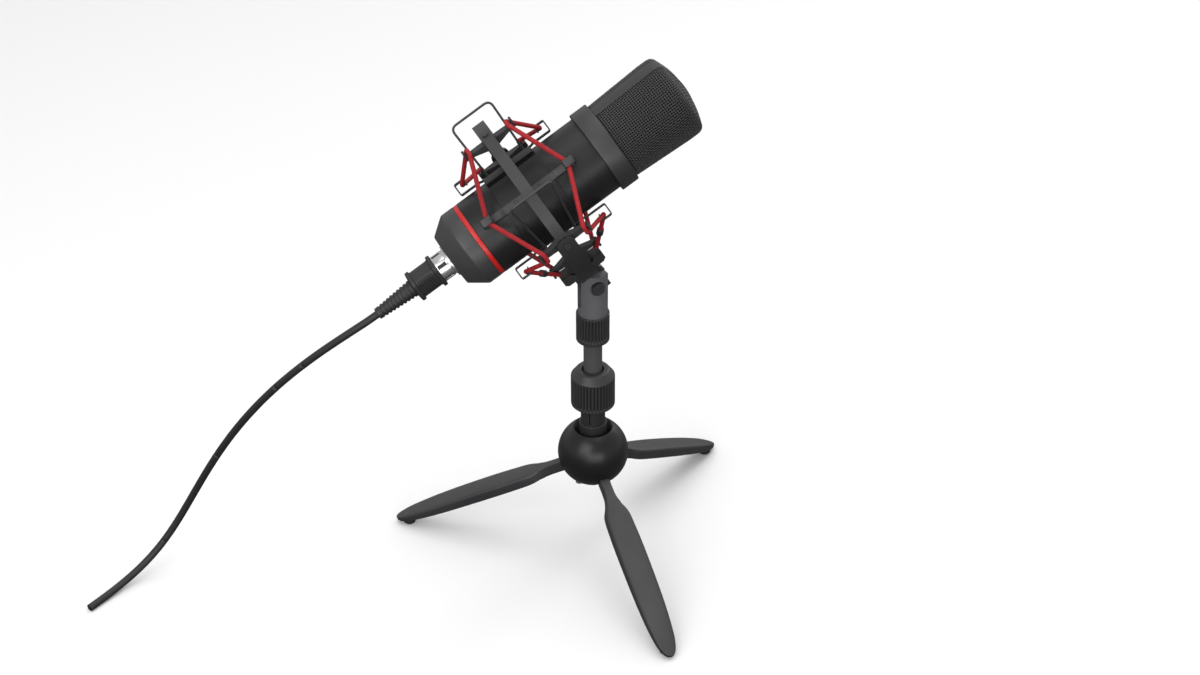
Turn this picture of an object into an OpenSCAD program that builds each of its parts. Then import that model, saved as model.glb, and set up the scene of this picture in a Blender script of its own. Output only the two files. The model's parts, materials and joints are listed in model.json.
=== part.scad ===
// Condenser microphone in an elastic shock mount on a folding table-top tripod.
// Millimetres, +Z up. The origin is the centre of the hub's flat underside, on the post axis.
// The microphone leans in the XZ plane; its near side faces -Y.

/* [Microphone] */
// Outside diameter of the microphone body
mic_d = 46; // [42:0.5:50]
// Overall length of the microphone, bottom face to top of the head
mic_len = 160.8; // [150:0.1:175]
// Diameter of the flat bottom face
mic_bottom_d = 31.4; // [28:0.1:34]
// Length of the cone at the bottom
mic_cone_len = 10; // [6:0.5:14]
// Distance from the bottom face to the accent ring
ring_from_bottom = 17.9; // [15:0.1:24]
// Width of the accent ring
ring_w = 2.75; // [1.5:0.05:4]
// Distance from the bottom face to the head collar
collar_from_bottom = 99.8; // [95:0.1:105]
// Height of the head collar
head_collar_h = 10.9; // [8:0.1:14]
// Diameter of the head collar
head_collar_d = 50.6; // [48:0.1:54]
// Diameter of the grille where it leaves the collar
head_base_d = 47.2; // [45:0.1:49]
// Largest diameter of the grille
head_max_d = 50.4; // [49:0.1:52]
// Width of the solid band over the grille
head_band_w = 7.6; // [5:0.1:10]
// Diameter of the capsule
capsule_d = 34; // [28:0.5:36]

/* [Plug and cable] */
// Diameter of the plug's metal barrel
plug_barrel_d = 15.9; // [15:0.1:17]
// Length of barrel that shows below the socket
plug_barrel_show = 8.8; // [6:0.1:12]
// Length of the plug's moulded body
plug_body_len = 17.2; // [14:0.1:24]
// Length of the tapered strain relief
relief_len = 24.5; // [18:0.5:30]
// Diameter of the cable
cable_d = 4.4; // [3.5:0.1:6]

/* [Shock mount] */
// Inside radius of the yoke ring
yoke_r = 49.6; // [48:0.1:54]
// Thickness of the yoke ring
yoke_t = 2; // [1.5:0.1:3]
// Width of the yoke ring along the microphone
yoke_w = 7.7; // [6:0.1:10]
// Width of the near strap
strap_w = 6.6; // [5:0.1:8]
// Width of the boot that carries the yoke
boot_w = 11; // [9:0.1:14]
// Half length of the four cord arms
arm_half = 16.4; // [14:0.1:18]
// Half length of the four hook strips on the clamp
strip_half = 30.9; // [28:0.1:34]
// Half length of the clamp jaws
jaw_half = 16; // [12:0.5:18]
// Diameter of the wire handles
wire_d = 1.4; // [1.2:0.1:2]
// Distance of the handle bars from the microphone axis
handle_r = 61.6; // [58:0.1:66]
// Angle of each handle bar from the top of the microphone
handle_angle = 52; // [45:1:60]
// Diameter of the elastic cords
cord_d = 2.7; // [2:0.1:3.2]

/* [Stand] */
// Lean of the microphone from level
tilt = 30; // [15:1:45]
// Distance from the microphone axis to the tilt pivot
stem_len = 71; // [70:0.1:74]
// Height of the tilt pivot above the hub's underside
pivot_h = 138.3; // [134:0.1:146]
// Diameter of the clevis
clevis_d = 17.5; // [16:0.1:20]
// Width of the slot in the clevis
slot_w = 5.2; // [4:0.1:6]
// Diameter of the swivel nut
swivel_nut_d = 19.5; // [19:0.1:22]
// Diameter of the sliding post tube
post_d = 11; // [10:0.1:11.4]
// Diameter of the lock collar
lock_collar_d = 26; // [24:0.5:30]
// Diameter of the fixed neck
neck_d = 16.8; // [16:0.1:18]
// Diameter of the ball hub
hub_d = 42; // [40:0.5:44]

/* [Legs] */
// Distance of each leg hinge from the post axis
hinge_r = 14; // [13:0.1:15]
// Height of the leg hinges above the hub's underside
hinge_h = 9.8; // [9:0.1:11]
// Length of a leg from its hinge to its tip
leg_len = 121; // [110:1:130]
// Slope of an open leg below level
leg_slope = 26.5; // [24:0.5:30]
// Largest width of a leg blade
leg_w = 16.8; // [14:0.1:18]
// Thickness of a leg
leg_t = 6.4; // [5:0.1:7]
// Distance of each foot pad from the post axis
foot_r = 114.5; // [105:0.5:118]

/* [Hidden] */
$fn = 64;

gap = 0.05;                       // running and assembly clearance
mic_r = mic_d / 2;
tube_in_r = mic_r - 1.5;
centre_w = 56.3;                  // the yoke's plane, measured up from the bottom face
collar_top = collar_from_bottom + head_collar_h;
head_r0 = head_base_d / 2;
head_r1 = head_max_d / 2;
jaw_in_r = mic_r + 1.05;
jaw_out_r = jaw_in_r + 1.2;
yoke_out_r = yoke_r + yoke_t;
band_r = yoke_out_r + gap;        // inner radius of the strap and the boot
pin_off = 28.4;                   // clamp hinge pin, below the microphone axis
screw_r = 1.3;
arm_out = yoke_r - 0.1;
cord_r = cord_d / 2;
cord_out_r = arm_out + cord_r + gap;
cord_out_z = 13.1;                // where the cords lie on the cord arms
hook_r = jaw_out_r + 7.5;         // outside of the hooks on the strips
cord_in_r = jaw_out_r + 4.9;
cord_in_z = strip_half - 4.3;
hub_r = hub_d / 2;
hub_c = sqrt(hub_r * hub_r - 7.5 * 7.5);
desk_z = hinge_h - 56.5;
post_r = post_d / 2;
leg_turns = [-90, 30, 150];
ring_centre = [-stem_len * sin(tilt), 0, pivot_h + stem_len * cos(tilt)];

// ---------- placing ----------

// Microphone frame: origin at the yoke's centre, +Z along the microphone, +X up, +Y to the near side.
module at_mic() {
    translate(ring_centre)
        rotate([0, 90 - tilt, 0])
            rotate([0, 0, 180])
                children();
}

// The same frame with its origin on the microphone's bottom face.
module from_bottom() {
    at_mic()
        translate([0, 0, -centre_w])
            children();
}

function mic_point(p) = ring_centre + [
    p[2] * cos(tilt) - p[0] * sin(tilt), -p[1], p[2] * sin(tilt) + p[0] * cos(tilt)
];

function polar(r, a, z) = [r * cos(a), r * sin(a), z];

// ---------- shapes used more than once ----------

module tube(r_out, r_in, z0, z1) {
    difference() {
        translate([0, 0, z0])
            cylinder(h = z1 - z0, r = r_out);
        translate([0, 0, z0 - 1])
            cylinder(h = z1 - z0 + 2, r = r_in);
    }
}

// Part of a tube between two angles round the microphone.
module arc_band(r_in, r_out, half_w, a0, a1) {
    rotate([0, 0, a0])
        rotate_extrude(angle = a1 - a0)
            translate([r_in, -half_w])
                square([r_out - r_in, 2 * half_w]);
}

// Everything past the end of a band that points along +X: its two corners are cut off.
module past_end(half_w) {
    translate([0, 60, 0])
        rotate([90, 0, 0])
            linear_extrude(120)
                polygon([
                    [90, -20], [-1, -20], [-1, -half_w - 0.5], [half_w * 0.5, -half_w * 0.87],
                    [half_w * 0.87, -half_w * 0.5], [half_w, 0], [half_w * 0.87, half_w * 0.5],
                    [half_w * 0.5, half_w * 0.87], [-1, half_w + 0.5], [-1, 20], [90, 20]
                ]);
}

module radial_rod(r, from, to, a) {
    rotate([0, 0, a])
        translate([from, 0, 0])
            rotate([0, 90, 0])
                cylinder(h = to - from, r = r);
}

// A round bar with straight grooves down its side.
module fluted(r, h, count, depth) {
    linear_extrude(h)
        difference() {
            circle(r);
            for (i = [0:count - 1])
                rotate(360 * i / count)
                    translate([r, 0])
                        square([2 * depth, PI * r / count], center = true);
        }
}

function unit(v) = v / norm(v);

// Direction of a path at point i.
function path_dir(path, i, closed) =
    let (n = len(path))
    let (before = closed ? (i + n - 1) % n : max(i - 1, 0))
    let (after = closed ? (i + 1) % n : min(i + 1, n - 1))
    let (back = i == before ? [0, 0, 0] : unit(path[i] - path[before]))
    let (ahead = i == after ? [0, 0, 0] : unit(path[after] - path[i]))
    unit(back + ahead);

// Points of a polygon with the given number of sides, square to the path at point i.
function section(path, i, r, sides, ref, closed) =
    let (t = path_dir(path, i, closed))
    let (u = unit(cross(t, ref[i])))
    let (v = cross(t, u))
    [for (k = [0:sides - 1]) path[i] + r * (cos(360 * k / sides) * u + sin(360 * k / sides) * v)];

// A tube along a path. ref holds one direction for each point, never along the path.
module swept_tube(path, r, sides, ref, closed = false) {
    n = len(path);
    spans = closed ? n : n - 1;
    points = [for (i = [0:n - 1]) each section(path, i, r, sides, ref, closed)];
    walls = [
        for (i = [0:spans - 1], k = [0:sides - 1])
            let (j = (i + 1) % n, l = (k + 1) % sides)
            [i * sides + k, j * sides + k, j * sides + l, i * sides + l]
    ];
    ends = closed ? [] : [
        [for (k = [0:sides - 1]) k],
        [for (k = [sides - 1:-1:0]) (n - 1) * sides + k]
    ];
    polyhedron(points = points, faces = concat(walls, ends), convexity = 8);
}

function outward(path) = [for (p = path) [p[0], p[1], 0]];

// ---------- microphone body ----------

module bottom_cap() {
    color("#242427")
        from_bottom()
            difference() {
                union() {
                    cylinder(h = mic_cone_len, r1 = mic_bottom_d / 2, r2 = mic_r);
                    translate([0, 0, mic_cone_len])
                        cylinder(h = ring_from_bottom - mic_cone_len, r = mic_r);
                    translate([0, 0, ring_from_bottom - 1])
                        cylinder(h = 11, r = tube_in_r - gap);
                }
                translate([0, 0, -1])
                    cylinder(h = 12, r = 9.7);
                translate([0, 0, 10])
                    cylinder(h = 30, r = tube_in_r - 2.2);
            }
}

module accent_ring() {
    color("#d3201f")
        from_bottom()
            tube(mic_r - 0.1, tube_in_r, ring_from_bottom + 0.02, ring_from_bottom + ring_w - 0.02);
}

module body_tube() {
    color("#29292c")
        from_bottom()
            tube(mic_r, tube_in_r, ring_from_bottom + ring_w, collar_from_bottom + 3);
}

module head_collar() {
    r = head_collar_d / 2;
    color("#2c2c2f")
        from_bottom()
            difference() {
                union() {
                    translate([0, 0, collar_from_bottom])
                        cylinder(h = 0.6, r1 = r - 0.6, r2 = r);
                    translate([0, 0, collar_from_bottom + 0.6])
                        cylinder(h = head_collar_h - 1.2, r = r);
                    translate([0, 0, collar_top - 0.6])
                        cylinder(h = 0.6, r1 = r, r2 = r - 0.6);
                }
                translate([0, 0, collar_from_bottom - 1])
                    cylinder(h = 4.1, r = mic_r + gap);
                translate([0, 0, collar_from_bottom - 1])
                    cylinder(h = 20, r = 20);
                translate([0, 0, collar_from_bottom + 5.2])
                    cylinder(h = 10, r = head_r0 + 0.1);
            }
}

// Outline of the grille, inset by t: a slow flare, a rounded shoulder and a shallow dome.
function head_outline(t) =
    let (shoulder_r = 4.6, dome_r = 57, side_top = mic_len - 8.6)
    let (cx = head_r1 - shoulder_r - 0.1)
    concat(
        [[head_r0 - t, collar_from_bottom + 5.3]],
        [[head_r0 - t, collar_top], [head_r1 - t, mic_len - 15]],
        [
            for (a = [0:13:65])
                [cx + (shoulder_r - t) * cos(a), side_top + (shoulder_r - t) * sin(a)]
        ],
        [
            for (q = [16:-4:0])
                [q, mic_len - t - dome_r + sqrt(dome_r * dome_r - q * q)]
        ]
    );

module head_shell(t0, t1) {
    outer = head_outline(t0);
    inner = head_outline(t1);
    rotate_extrude()
        polygon(concat(outer, [for (i = [len(inner) - 1:-1:0]) inner[i]]));
}

module head_frame() {
    color("#2a2a2d")
        from_bottom()
            union() {
                intersection() {
                    head_shell(0, 1.6);
                    translate([-40, -head_band_w / 2, 0])
                        cube([80, head_band_w, 200]);
                }
                tube(head_r0, head_r0 - 2.2, collar_from_bottom + 5.3, collar_top);
            }
}

// One side of the grille; side is 1 for the near half and -1 for the far half.
module grille_half(side) {
    color("#1b1b1d")
        from_bottom()
            intersection() {
                head_shell(0.3, 1.2);
                translate([-40, side > 0 ? head_band_w / 2 + gap : -40, collar_top + gap])
                    cube([80, 40 - head_band_w / 2 - gap, 60]);
            }
}

module grille_front() {
    grille_half(1);
}

module grille_rear() {
    grille_half(-1);
}

module gauze_liner() {
    color("#111113")
        from_bottom()
            intersection() {
                head_shell(1.7, 2.1);
                translate([-40, -40, collar_top + gap])
                    cube([80, 80, 60]);
            }
}

// ---------- capsule and electronics ----------

capsule_w = collar_top + 24;      // height of the capsule's centre
capsule_t = 8;

// The capsule's own frame: +Z through its two faces.
module at_capsule() {
    from_bottom()
        translate([0, 0, capsule_w])
            rotate([90, 0, 0])
                children();
}

module capsule_housing() {
    color("#1d1d1f")
        at_capsule()
            tube(capsule_d / 2, capsule_d / 2 - 3, -capsule_t / 2, capsule_t / 2);
}

module capsule_backplate() {
    color("#b08d45")
        at_capsule()
            difference() {
                cylinder(h = 4, r = capsule_d / 2 - 3 - gap, center = true);
                for (ring = [1, 2], i = [0:ring * 6 - 1])
                    rotate([0, 0, 60 * i / ring])
                        translate([5.2 * ring, 0, -3])
                            cylinder(h = 6, r = 0.6);
            }
}

module capsule_diaphragms() {
    color("#d8b45a")
        at_capsule()
            for (side = [-1, 1])
                translate([0, 0, side * 2.6 - 0.1])
                    cylinder(h = 0.2, r = capsule_d / 2 - 3 - gap);
}

module capsule_saddle() {
    foot_w = collar_from_bottom + 5.3;
    color("#3a3a3c")
        from_bottom()
            difference() {
                union() {
                    translate([0, 0, foot_w])
                        cylinder(h = 2, r = head_r0 - 2.3);
                    translate([-5, -3.5, foot_w + 1])
                        cube([10, 7, capsule_w - capsule_d / 2 - foot_w + 1]);
                }
                translate([0, 10, capsule_w])
                    rotate([90, 0, 0])
                        cylinder(h = 20, r = capsule_d / 2 + gap);
                translate([9, 0, foot_w - 1])
                    cylinder(h = 4, r = 2);
            }
}

module chassis() {
    color("#8f9296")
        from_bottom()
            difference() {
                union() {
                    for (w = [30, 92])
                        translate([0, 0, w])
                            cylinder(h = 2.5, r = tube_in_r - 0.3);
                    for (side = [-1, 1])
                        translate([-3, side * 18.2 - 1.2, 30])
                            cube([6, 2.4, 64]);
                }
                translate([0, 0, 20])
                    cylinder(h = 90, r = 6);
                translate([-1.85, -15.1, 20])
                    cube([1.7, 30.2, 90]);
            }
}

module circuit_board() {
    color("#1f5a34")
        from_bottom()
            translate([-1.8, -15, 27])
                cube([1.6, 30, 70]);
}

module board_parts() {
    color("#26262c")
        from_bottom()
            translate([-0.15, 0, 0]) {
                for (w = [40, 52])
                    translate([4, -7.5, w])
                        cylinder(h = 9, r = 4);
                translate([0, -5, 66])
                    cube([9, 12, 14]);
                for (w = [38, 44, 50, 56])
                    translate([0, 4, w])
                        cube([3.2, 7, 3]);
            }
}

// ---------- output socket and plug ----------

module socket_shell() {
    color("#9b9da1")
        from_bottom()
            tube(9.65, 8, -1, 10.8);
}

module socket_insert() {
    color("#1a1a1c")
        from_bottom()
            difference() {
                translate([0, 0, 9.2])
                    cylinder(h = 5, r = 7.95);
                for (a = [0, 120, 240])
                    rotate([0, 0, a])
                        translate([3.9, 0, 0])
                            cylinder(h = 30, r = 1.2 + gap);
            }
}

module socket_pins() {
    color("#c9a24a")
        from_bottom()
            for (a = [0, 120, 240])
                rotate([0, 0, a])
                    translate([3.9, 0, 1])
                        cylinder(h = 17, r = 1.2);
}

module plug_barrel() {
    r = plug_barrel_d / 2;
    color("#d9dadd")
        from_bottom()
            difference() {
                tube(r, r - 0.9, -plug_barrel_show, 7.5);
                translate([0, 0, -5.2])
                    difference() {
                        cylinder(h = 1.6, r = r + 1);
                        translate([0, 0, -1])
                            cylinder(h = 4, r = r - 0.4);
                    }
                rotate([0, 0, 35])
                    translate([r - 2, -1.6, -4])
                        cube([4, 3.2, 20]);
            }
}

module plug_insert() {
    color("#141416")
        from_bottom()
            difference() {
                translate([0, 0, -plug_barrel_show])
                    cylinder(h = plug_barrel_show + 6.8, r = plug_barrel_d / 2 - 0.9 - gap);
                for (a = [0, 120, 240])
                    rotate([0, 0, a])
                        translate([3.9, 0, -6])
                            cylinder(h = 30, r = 1.2 + gap);
            }
}

// Moulded body: a front flange, a waisted middle with two flat rails, and a rear ring.
module plug_body() {
    top = -plug_barrel_show;
    bottom = top - plug_body_len;
    color("#202022")
        from_bottom()
            difference() {
                union() {
                    translate([0, 0, top - 2.2])
                        cylinder(h = 2.2, r = 8.3);
                    translate([0, 0, bottom + 2])
                        cylinder(h = plug_body_len - 3, r = 6.9);
                    translate([0, 0, bottom])
                        cylinder(h = 3, r = 6.2);
                    for (side = [-1, 1])
                        translate([-3, side > 0 ? 0 : -7.6, bottom + 3])
                            cube([6, 7.6, plug_body_len - 4]);
                }
                translate([0, 0, bottom - 1])
                    cylinder(h = plug_body_len - 2, r = cable_d / 2 + 0.4);
                for (w = [4.5, 8.5, 12.5], side = [-1, 1])
                    translate([side * 7.6, 0, bottom + w])
                        cube([3, 12, 1.5], center = true);
            }
}

module strain_relief() {
    top = -plug_barrel_show - plug_body_len - gap;
    rings = 7;
    pitch = (relief_len - 4) / rings;
    color("#19191b")
        from_bottom()
            difference() {
                union() {
                    translate([0, 0, top - relief_len])
                        cylinder(h = relief_len, r1 = cable_d / 2 + 0.7, r2 = 4);
                    for (i = [0:rings - 1])
                        translate([0, 0, top - 2 - pitch * (i + 0.75)])
                            cylinder(h = pitch * 0.5, r = 5.2 - 0.3 * i);
                }
                translate([0, 0, top - relief_len - 1])
                    cylinder(h = relief_len + 2, r = cable_d / 2 + gap);
            }
}

// The cable leaves along the microphone's axis, hangs, and runs out flat on the desk.
cable_start = mic_point([0, 0, -centre_w - plug_barrel_show - plug_body_len + 4]);
cable_exit = mic_point([0, 0, -centre_w - plug_barrel_show - plug_body_len - relief_len - 1]);
cable_lay = desk_z + cable_d / 2;
cable_curve = [
    cable_exit,
    mic_point([0, 0, -centre_w - plug_barrel_show - plug_body_len - relief_len - 36]),
    [-227, 46, desk_z + 123],
    [-226, 70, desk_z + 37],
    [-235, 85, cable_lay],
    [-300.7, 44.2, cable_lay]
];

function choose(n, k) = k == 0 ? 1 : choose(n - 1, k - 1) * n / k;

// Point at share u of a Bezier curve of any order.
function bezier(c, u, k = 0) =
    let (n = len(c) - 1)
    let (weight = choose(n, k) * pow(u, k) * pow(1 - u, n - k))
    k == n ? weight * c[k] : weight * c[k] + bezier(c, u, k + 1);

module cable() {
    steps = 40;
    path = concat([cable_start], [for (i = [0:steps]) bezier(cable_curve, i / steps)]);
    color("#161618")
        swept_tube(path, cable_d / 2, 12, [for (p = path) [0, 1, 0.4]]);
}

// ---------- clamp ----------

// Half a hinged jaw, with its knuckles; side is 1 for the near jaw and -1 for the far one.
module jaw(side, knuckle_from, knuckle_to) {
    color("#1e1e20")
        at_mic()
            difference() {
                union() {
                    arc_band(jaw_in_r, jaw_out_r, jaw_half, side > 0 ? 5 : 183, side > 0 ? 177 : 355);
                    for (half = [-1, 1]) {
                        z0 = half > 0 ? knuckle_from : -knuckle_to;
                        translate([-pin_off, 0, z0])
                            cylinder(h = knuckle_to - knuckle_from, r = 2.5);
                        translate([-pin_off, side > 0 ? 0.9 : -3.3, z0])
                            cube([4.1, 2.4, knuckle_to - knuckle_from]);
                    }
                    for (half = [-1, 1])
                        rotate([0, 0, side > 0 ? 148 : 212])
                            translate([jaw_out_r - 0.4, -1.6, half * wire_base(-side) - 1.5])
                                cube([2.4, 3.2, 3]);
                }
                translate([-pin_off, 0, -50])
                    cylinder(h = 100, r = 1.3 + gap);
                for (half = [-1, 1])
                    rotate([0, 0, side > 0 ? 148 : 212])
                        translate([wire_seat_r, 5, half * wire_base(-side)])
                            rotate([90, 0, 0])
                                cylinder(h = 10, r = wire_d / 2 + gap);
            }
}

wire_seat_r = jaw_out_r + wire_d / 2 + 0.15;

// Half width of a handle where it wraps under the microphone. The two handles pass side by side.
function wire_base(side) = side > 0 ? 9.8 : 12;

module jaw_near() {
    jaw(1, 4.2, 10);
}

module jaw_far() {
    jaw(-1, 10.2, 15.6);
}

module pad(side) {
    color("#101011")
        at_mic()
            arc_band(mic_r + gap, jaw_in_r - gap, jaw_half - 1, side > 0 ? 6 : 184, side > 0 ? 176 : 354);
}

module pad_near() {
    pad(1);
}

module pad_far() {
    pad(-1);
}

// One leg of a handle, from its seat on the opposite jaw, under the pin and out to the bar.
handle_leg = [
    [wire_seat_r, 212, -3], [wire_seat_r, 212, 3], [29.3, 195, 0], [31.5, 188, 0], [31.9, 180, 0],
    [31.4, 168, 0], [30.6, 150, 0], [30.2, 130, 0], [30.2, 112, 0]
];

// Each row of handle_leg holds a radius, an angle and a straight offset across the angle.
function leg_xy(row) = [
    row[0] * cos(row[1]) + row[2] * sin(row[1]), row[0] * sin(row[1]) - row[2] * cos(row[1])
];

// A wire handle: up one leg, round two soft corners of the bar and down the other leg.
function handle_path(side) =
    let (base = wire_base(side), bar = 13.4, corner = 4)
    let (foot = [for (row = handle_leg) leg_xy(row)])
    let (last = foot[len(foot) - 1])
    let (top = [handle_r * cos(handle_angle), handle_r * sin(handle_angle)])
    let (rise = (top - last) / norm(top - last))
    let (leg = concat(
        [for (p = foot) [p[0], p[1], base]],
        [
            for (a = [0:22.5:90])
                let (p = top - rise * corner * (1 - sin(a)))
                [p[0], p[1], bar - corner * (1 - cos(a))]
        ]
    ))
    let (both = concat(leg, [for (i = [len(leg) - 1:-1:0]) [leg[i][0], leg[i][1], -leg[i][2]]]))
    [for (p = both) [p[0], side * p[1], p[2]]];

// The first leg's normals serve both legs, so the wire's section never twists.
function handle_refs(path) =
    let (half = len(path) / 2)
    let (first = [for (i = [0:half - 1]) cross([0, 0, 1], path_dir(path, i, false))])
    concat(first, [for (i = [half - 1:-1:0]) first[i]]);

module handle(side) {
    path = handle_path(side);
    color("#1c1c1e")
        at_mic()
            swept_tube(path, wire_d / 2, 8, handle_refs(path));
}

module handle_near() {
    handle(1);
}

module handle_far() {
    handle(-1);
}

// A hook strip: a flat bar along the clamp that turns out and back at both ends, with rivets.
module hook_strip(a) {
    rotate([0, 0, a]) {
        translate([jaw_out_r + gap, -2.2, -strip_half])
            cube([0.8, 4.4, 2 * strip_half]);
        for (half = [0, 1])
            mirror([0, 0, half]) {
                translate([jaw_out_r + gap, -2.2, strip_half - 0.8])
                    cube([hook_r - jaw_out_r, 4.4, 0.8]);
                translate([hook_r - 0.8, -2.2, strip_half - 6.8])
                    cube([0.8 + gap, 4.4, 6.8]);
                translate([hook_r - 4.2, -2.2, strip_half - 6.8])
                    cube([4.2, 4.4, 0.8]);
                translate([jaw_out_r + gap + 0.7, 0, 6])
                    rotate([0, 90, 0])
                        cylinder(h = 0.6, r = 1.3);
            }
    }
}

module hook_strips_near() {
    color("#1a1a1c")
        at_mic()
            for (a = [45, 135])
                hook_strip(a);
}

module hook_strips_far() {
    color("#1a1a1c")
        at_mic()
            for (a = [225, 315])
                hook_strip(a);
}

module clamp_pin() {
    color("#8a8d91")
        at_mic()
            translate([-pin_off, 0, -17]) {
                cylinder(h = 34, r = 1.3);
                cylinder(h = 0.8, r = 2.2);
                translate([0, 0, 33.2])
                    cylinder(h = 0.8, r = 2.2);
            }
}

// Torsion spring round the pin between the inner knuckles.
module clamp_spring() {
    turns = 6;
    steps = 14;
    path = [
        for (i = [0:turns * steps])
            [
                -pin_off + 1.9 * cos(360 * i / steps), 1.9 * sin(360 * i / steps),
                -3.4 + 6.8 * i / (turns * steps)
            ]
    ];
    color("#9a9da0")
        at_mic()
            swept_tube(path, 0.4, 6, [for (p = path) [0, 0, 1]]);
}

// ---------- yoke ----------

module yoke_ring() {
    color("#232325")
        at_mic()
            difference() {
                tube(yoke_out_r, yoke_r, -yoke_w / 2, yoke_w / 2);
                translate([3.6, 3.6, -10])
                    cube([60, 60, 20]);
                for (a = [0:90:270])
                    radial_rod(screw_r + gap, 40, 60, a);
            }
}

module near_strap() {
    color("#262628")
        at_mic()
            difference() {
                tube(band_r + 1.6, band_r, -strap_w / 2, strap_w / 2);
                translate([-70, -70, -10])
                    cube([140, 66, 20]);
                rotate([0, 0, -90])
                    past_end(strap_w / 2);
                translate([-70, -10, -10])
                    cube([75.6, 80, 20]);
                radial_rod(screw_r + gap, 40, 60, 0);
            }
}

// The boot wraps the lower half of the ring and carries the wing bar and the tongue.
module boot() {
    t = 2;
    color("#222224")
        at_mic()
            difference() {
                union() {
                    difference() {
                        tube(band_r + t, band_r, -boot_w / 2, boot_w / 2);
                        past_end(boot_w / 2);
                    }
                    translate([-band_r - 4, -5, 1 - boot_w / 2])
                        cube([3.9, 10, boot_w - 2]);
                    wing_bar();
                    translate([-stem_len - 7, -slot_w / 2 + 0.1, -8])
                        cube([stem_len + 7 - band_r - 1, slot_w - 0.2, 16]);
                }
                translate([-stem_len, 10, 0])
                    rotate([90, 0, 0])
                        cylinder(h = 20, r = 2 + gap);
                for (a = [90, 270])
                    radial_rod(screw_r + gap, 40, 60, a);
            }
}

// Cross bar under the ring with chamfered lugs at its ends.
module wing_bar() {
    low = stem_len - 10.5;
    translate([-low, 4.5, 0])
        rotate([90, 0, 0])
            linear_extrude(9)
                polygon([
                    [0, -12], [1.6, -14], [6, -14], [6, -8], [4, -6], [4, 6], [6, 8], [6, 14],
                    [1.6, 14], [0, 12]
                ]);
}

// Side view of one cord arm: thick in the middle, a neck for the cord and a knob at each end.
function arm_side() =
    let (half = [
        [arm_out - 5, 3], [arm_out - 2.4, 12.2], [arm_out - 2.4, arm_half], [arm_out + 3.2, arm_half],
        [arm_out + 3.2, arm_half - 1.3], [arm_out, arm_half - 1.6]
    ])
    concat(half, [for (i = [len(half) - 1:-1:0]) [half[i][0], -half[i][1]]]);

module cord_arm(a) {
    rotate([0, 0, a])
        difference() {
            intersection() {
                translate([0, 5, 0])
                    rotate([90, 0, 0])
                        linear_extrude(10)
                            polygon(arm_side());
                translate([40, 0, 0])
                    rotate([0, 90, 0])
                        linear_extrude(20)
                            polygon([
                                [-arm_half - 1, -1.6], [0, -2.2], [arm_half + 1, -1.6],
                                [arm_half + 1, 1.6], [0, 2.2], [-arm_half - 1, 1.6]
                            ]);
            }
            radial_rod(screw_r + gap, 40, 60, 0);
        }
}

module cord_arms() {
    color("#2b2b2e")
        at_mic()
            for (a = [0:90:270])
                cord_arm(a);
}

// Screws hold the bands to the arms; the lowest one goes in from inside the ring.
module yoke_screws() {
    heads = [[0, band_r + 1.6], [90, band_r + 2], [270, band_r + 2]];
    color("#18181a")
        at_mic() {
            for (h = heads) {
                radial_rod(screw_r, 45.5, h[1] + 0.2, h[0]);
                radial_rod(1.9, h[1] + gap, h[1] + 0.8, h[0]);
            }
            radial_rod(screw_r, arm_out - 5.4, band_r - 0.1, 180);
            radial_rod(2.4, arm_out - 6.2, arm_out - 5 - gap, 180);
        }
}

// ---------- elastic cords ----------

// One closed cord: over an arm, under a hook, and on round the microphone. end is 1 or -1.
function cord_path(end) = [
    for (k = [0:3], j = [0:5])
        let (out = j < 3)
        let (across = out ? [-2.6, 0, 2.6][j] : [-1.5, 0, 1.5][j - 3])
        let (a = 90 * k + (out ? 0 : 45))
        let (r = out ? cord_out_r + (j == 1 ? 0.25 : 0) : cord_in_r - (j == 4 ? 0.2 : 0))
        let (z = out ? cord_out_z : cord_in_z)
        [r * cos(a) - across * sin(a), r * sin(a) + across * cos(a), end * z]
];

module cord(end) {
    path = cord_path(end);
    color("#c1121f")
        at_mic()
            swept_tube(path, cord_r, 10, outward(path), true);
}

module cord_lower() {
    cord(-1);
}

module cord_upper() {
    cord(1);
}

// A crimped sleeve joins the ends of each cord, half way from the lowest arm to the near hook.
module cord_crimps() {
    color("#1a1a1b")
        at_mic()
            for (end = [-1, 1]) {
                path = cord_path(end);
                from = path[11];
                to = path[12];
                mid = (from + to) / 2;
                along = unit(to - from);
                translate(mid)
                    rotate([0, acos(along[2]), atan2(along[1], along[0])])
                        tube(cord_r + 0.6, cord_r + 0.02, -2.75, 2.75);
            }
}

// ---------- stand head ----------

module pivot_bolt() {
    color("#2d2d30")
        translate([0, 0, pivot_h])
            rotate([90, 0, 0]) {
                translate([0, 0, -9])
                    cylinder(h = 18.7, r = 2);
                translate([0, 0, -9.6])
                    cylinder(h = 2.3, r = 3.4);
            }
}

module pivot_nut() {
    color("#303033")
        translate([0, -7.25, pivot_h])
            rotate([90, 0, 0])
                difference() {
                    rotate([0, 0, 30])
                        cylinder(h = 2.6, r = 4.05, $fn = 6);
                    translate([0, 0, -1])
                        cylinder(h = 6, r = 2 + 0.02);
                }
}

nut_z0 = pivot_h - 39;          // bottom of the swivel nut
nut_z1 = pivot_h - 20.5;            // top of the swivel nut

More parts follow.
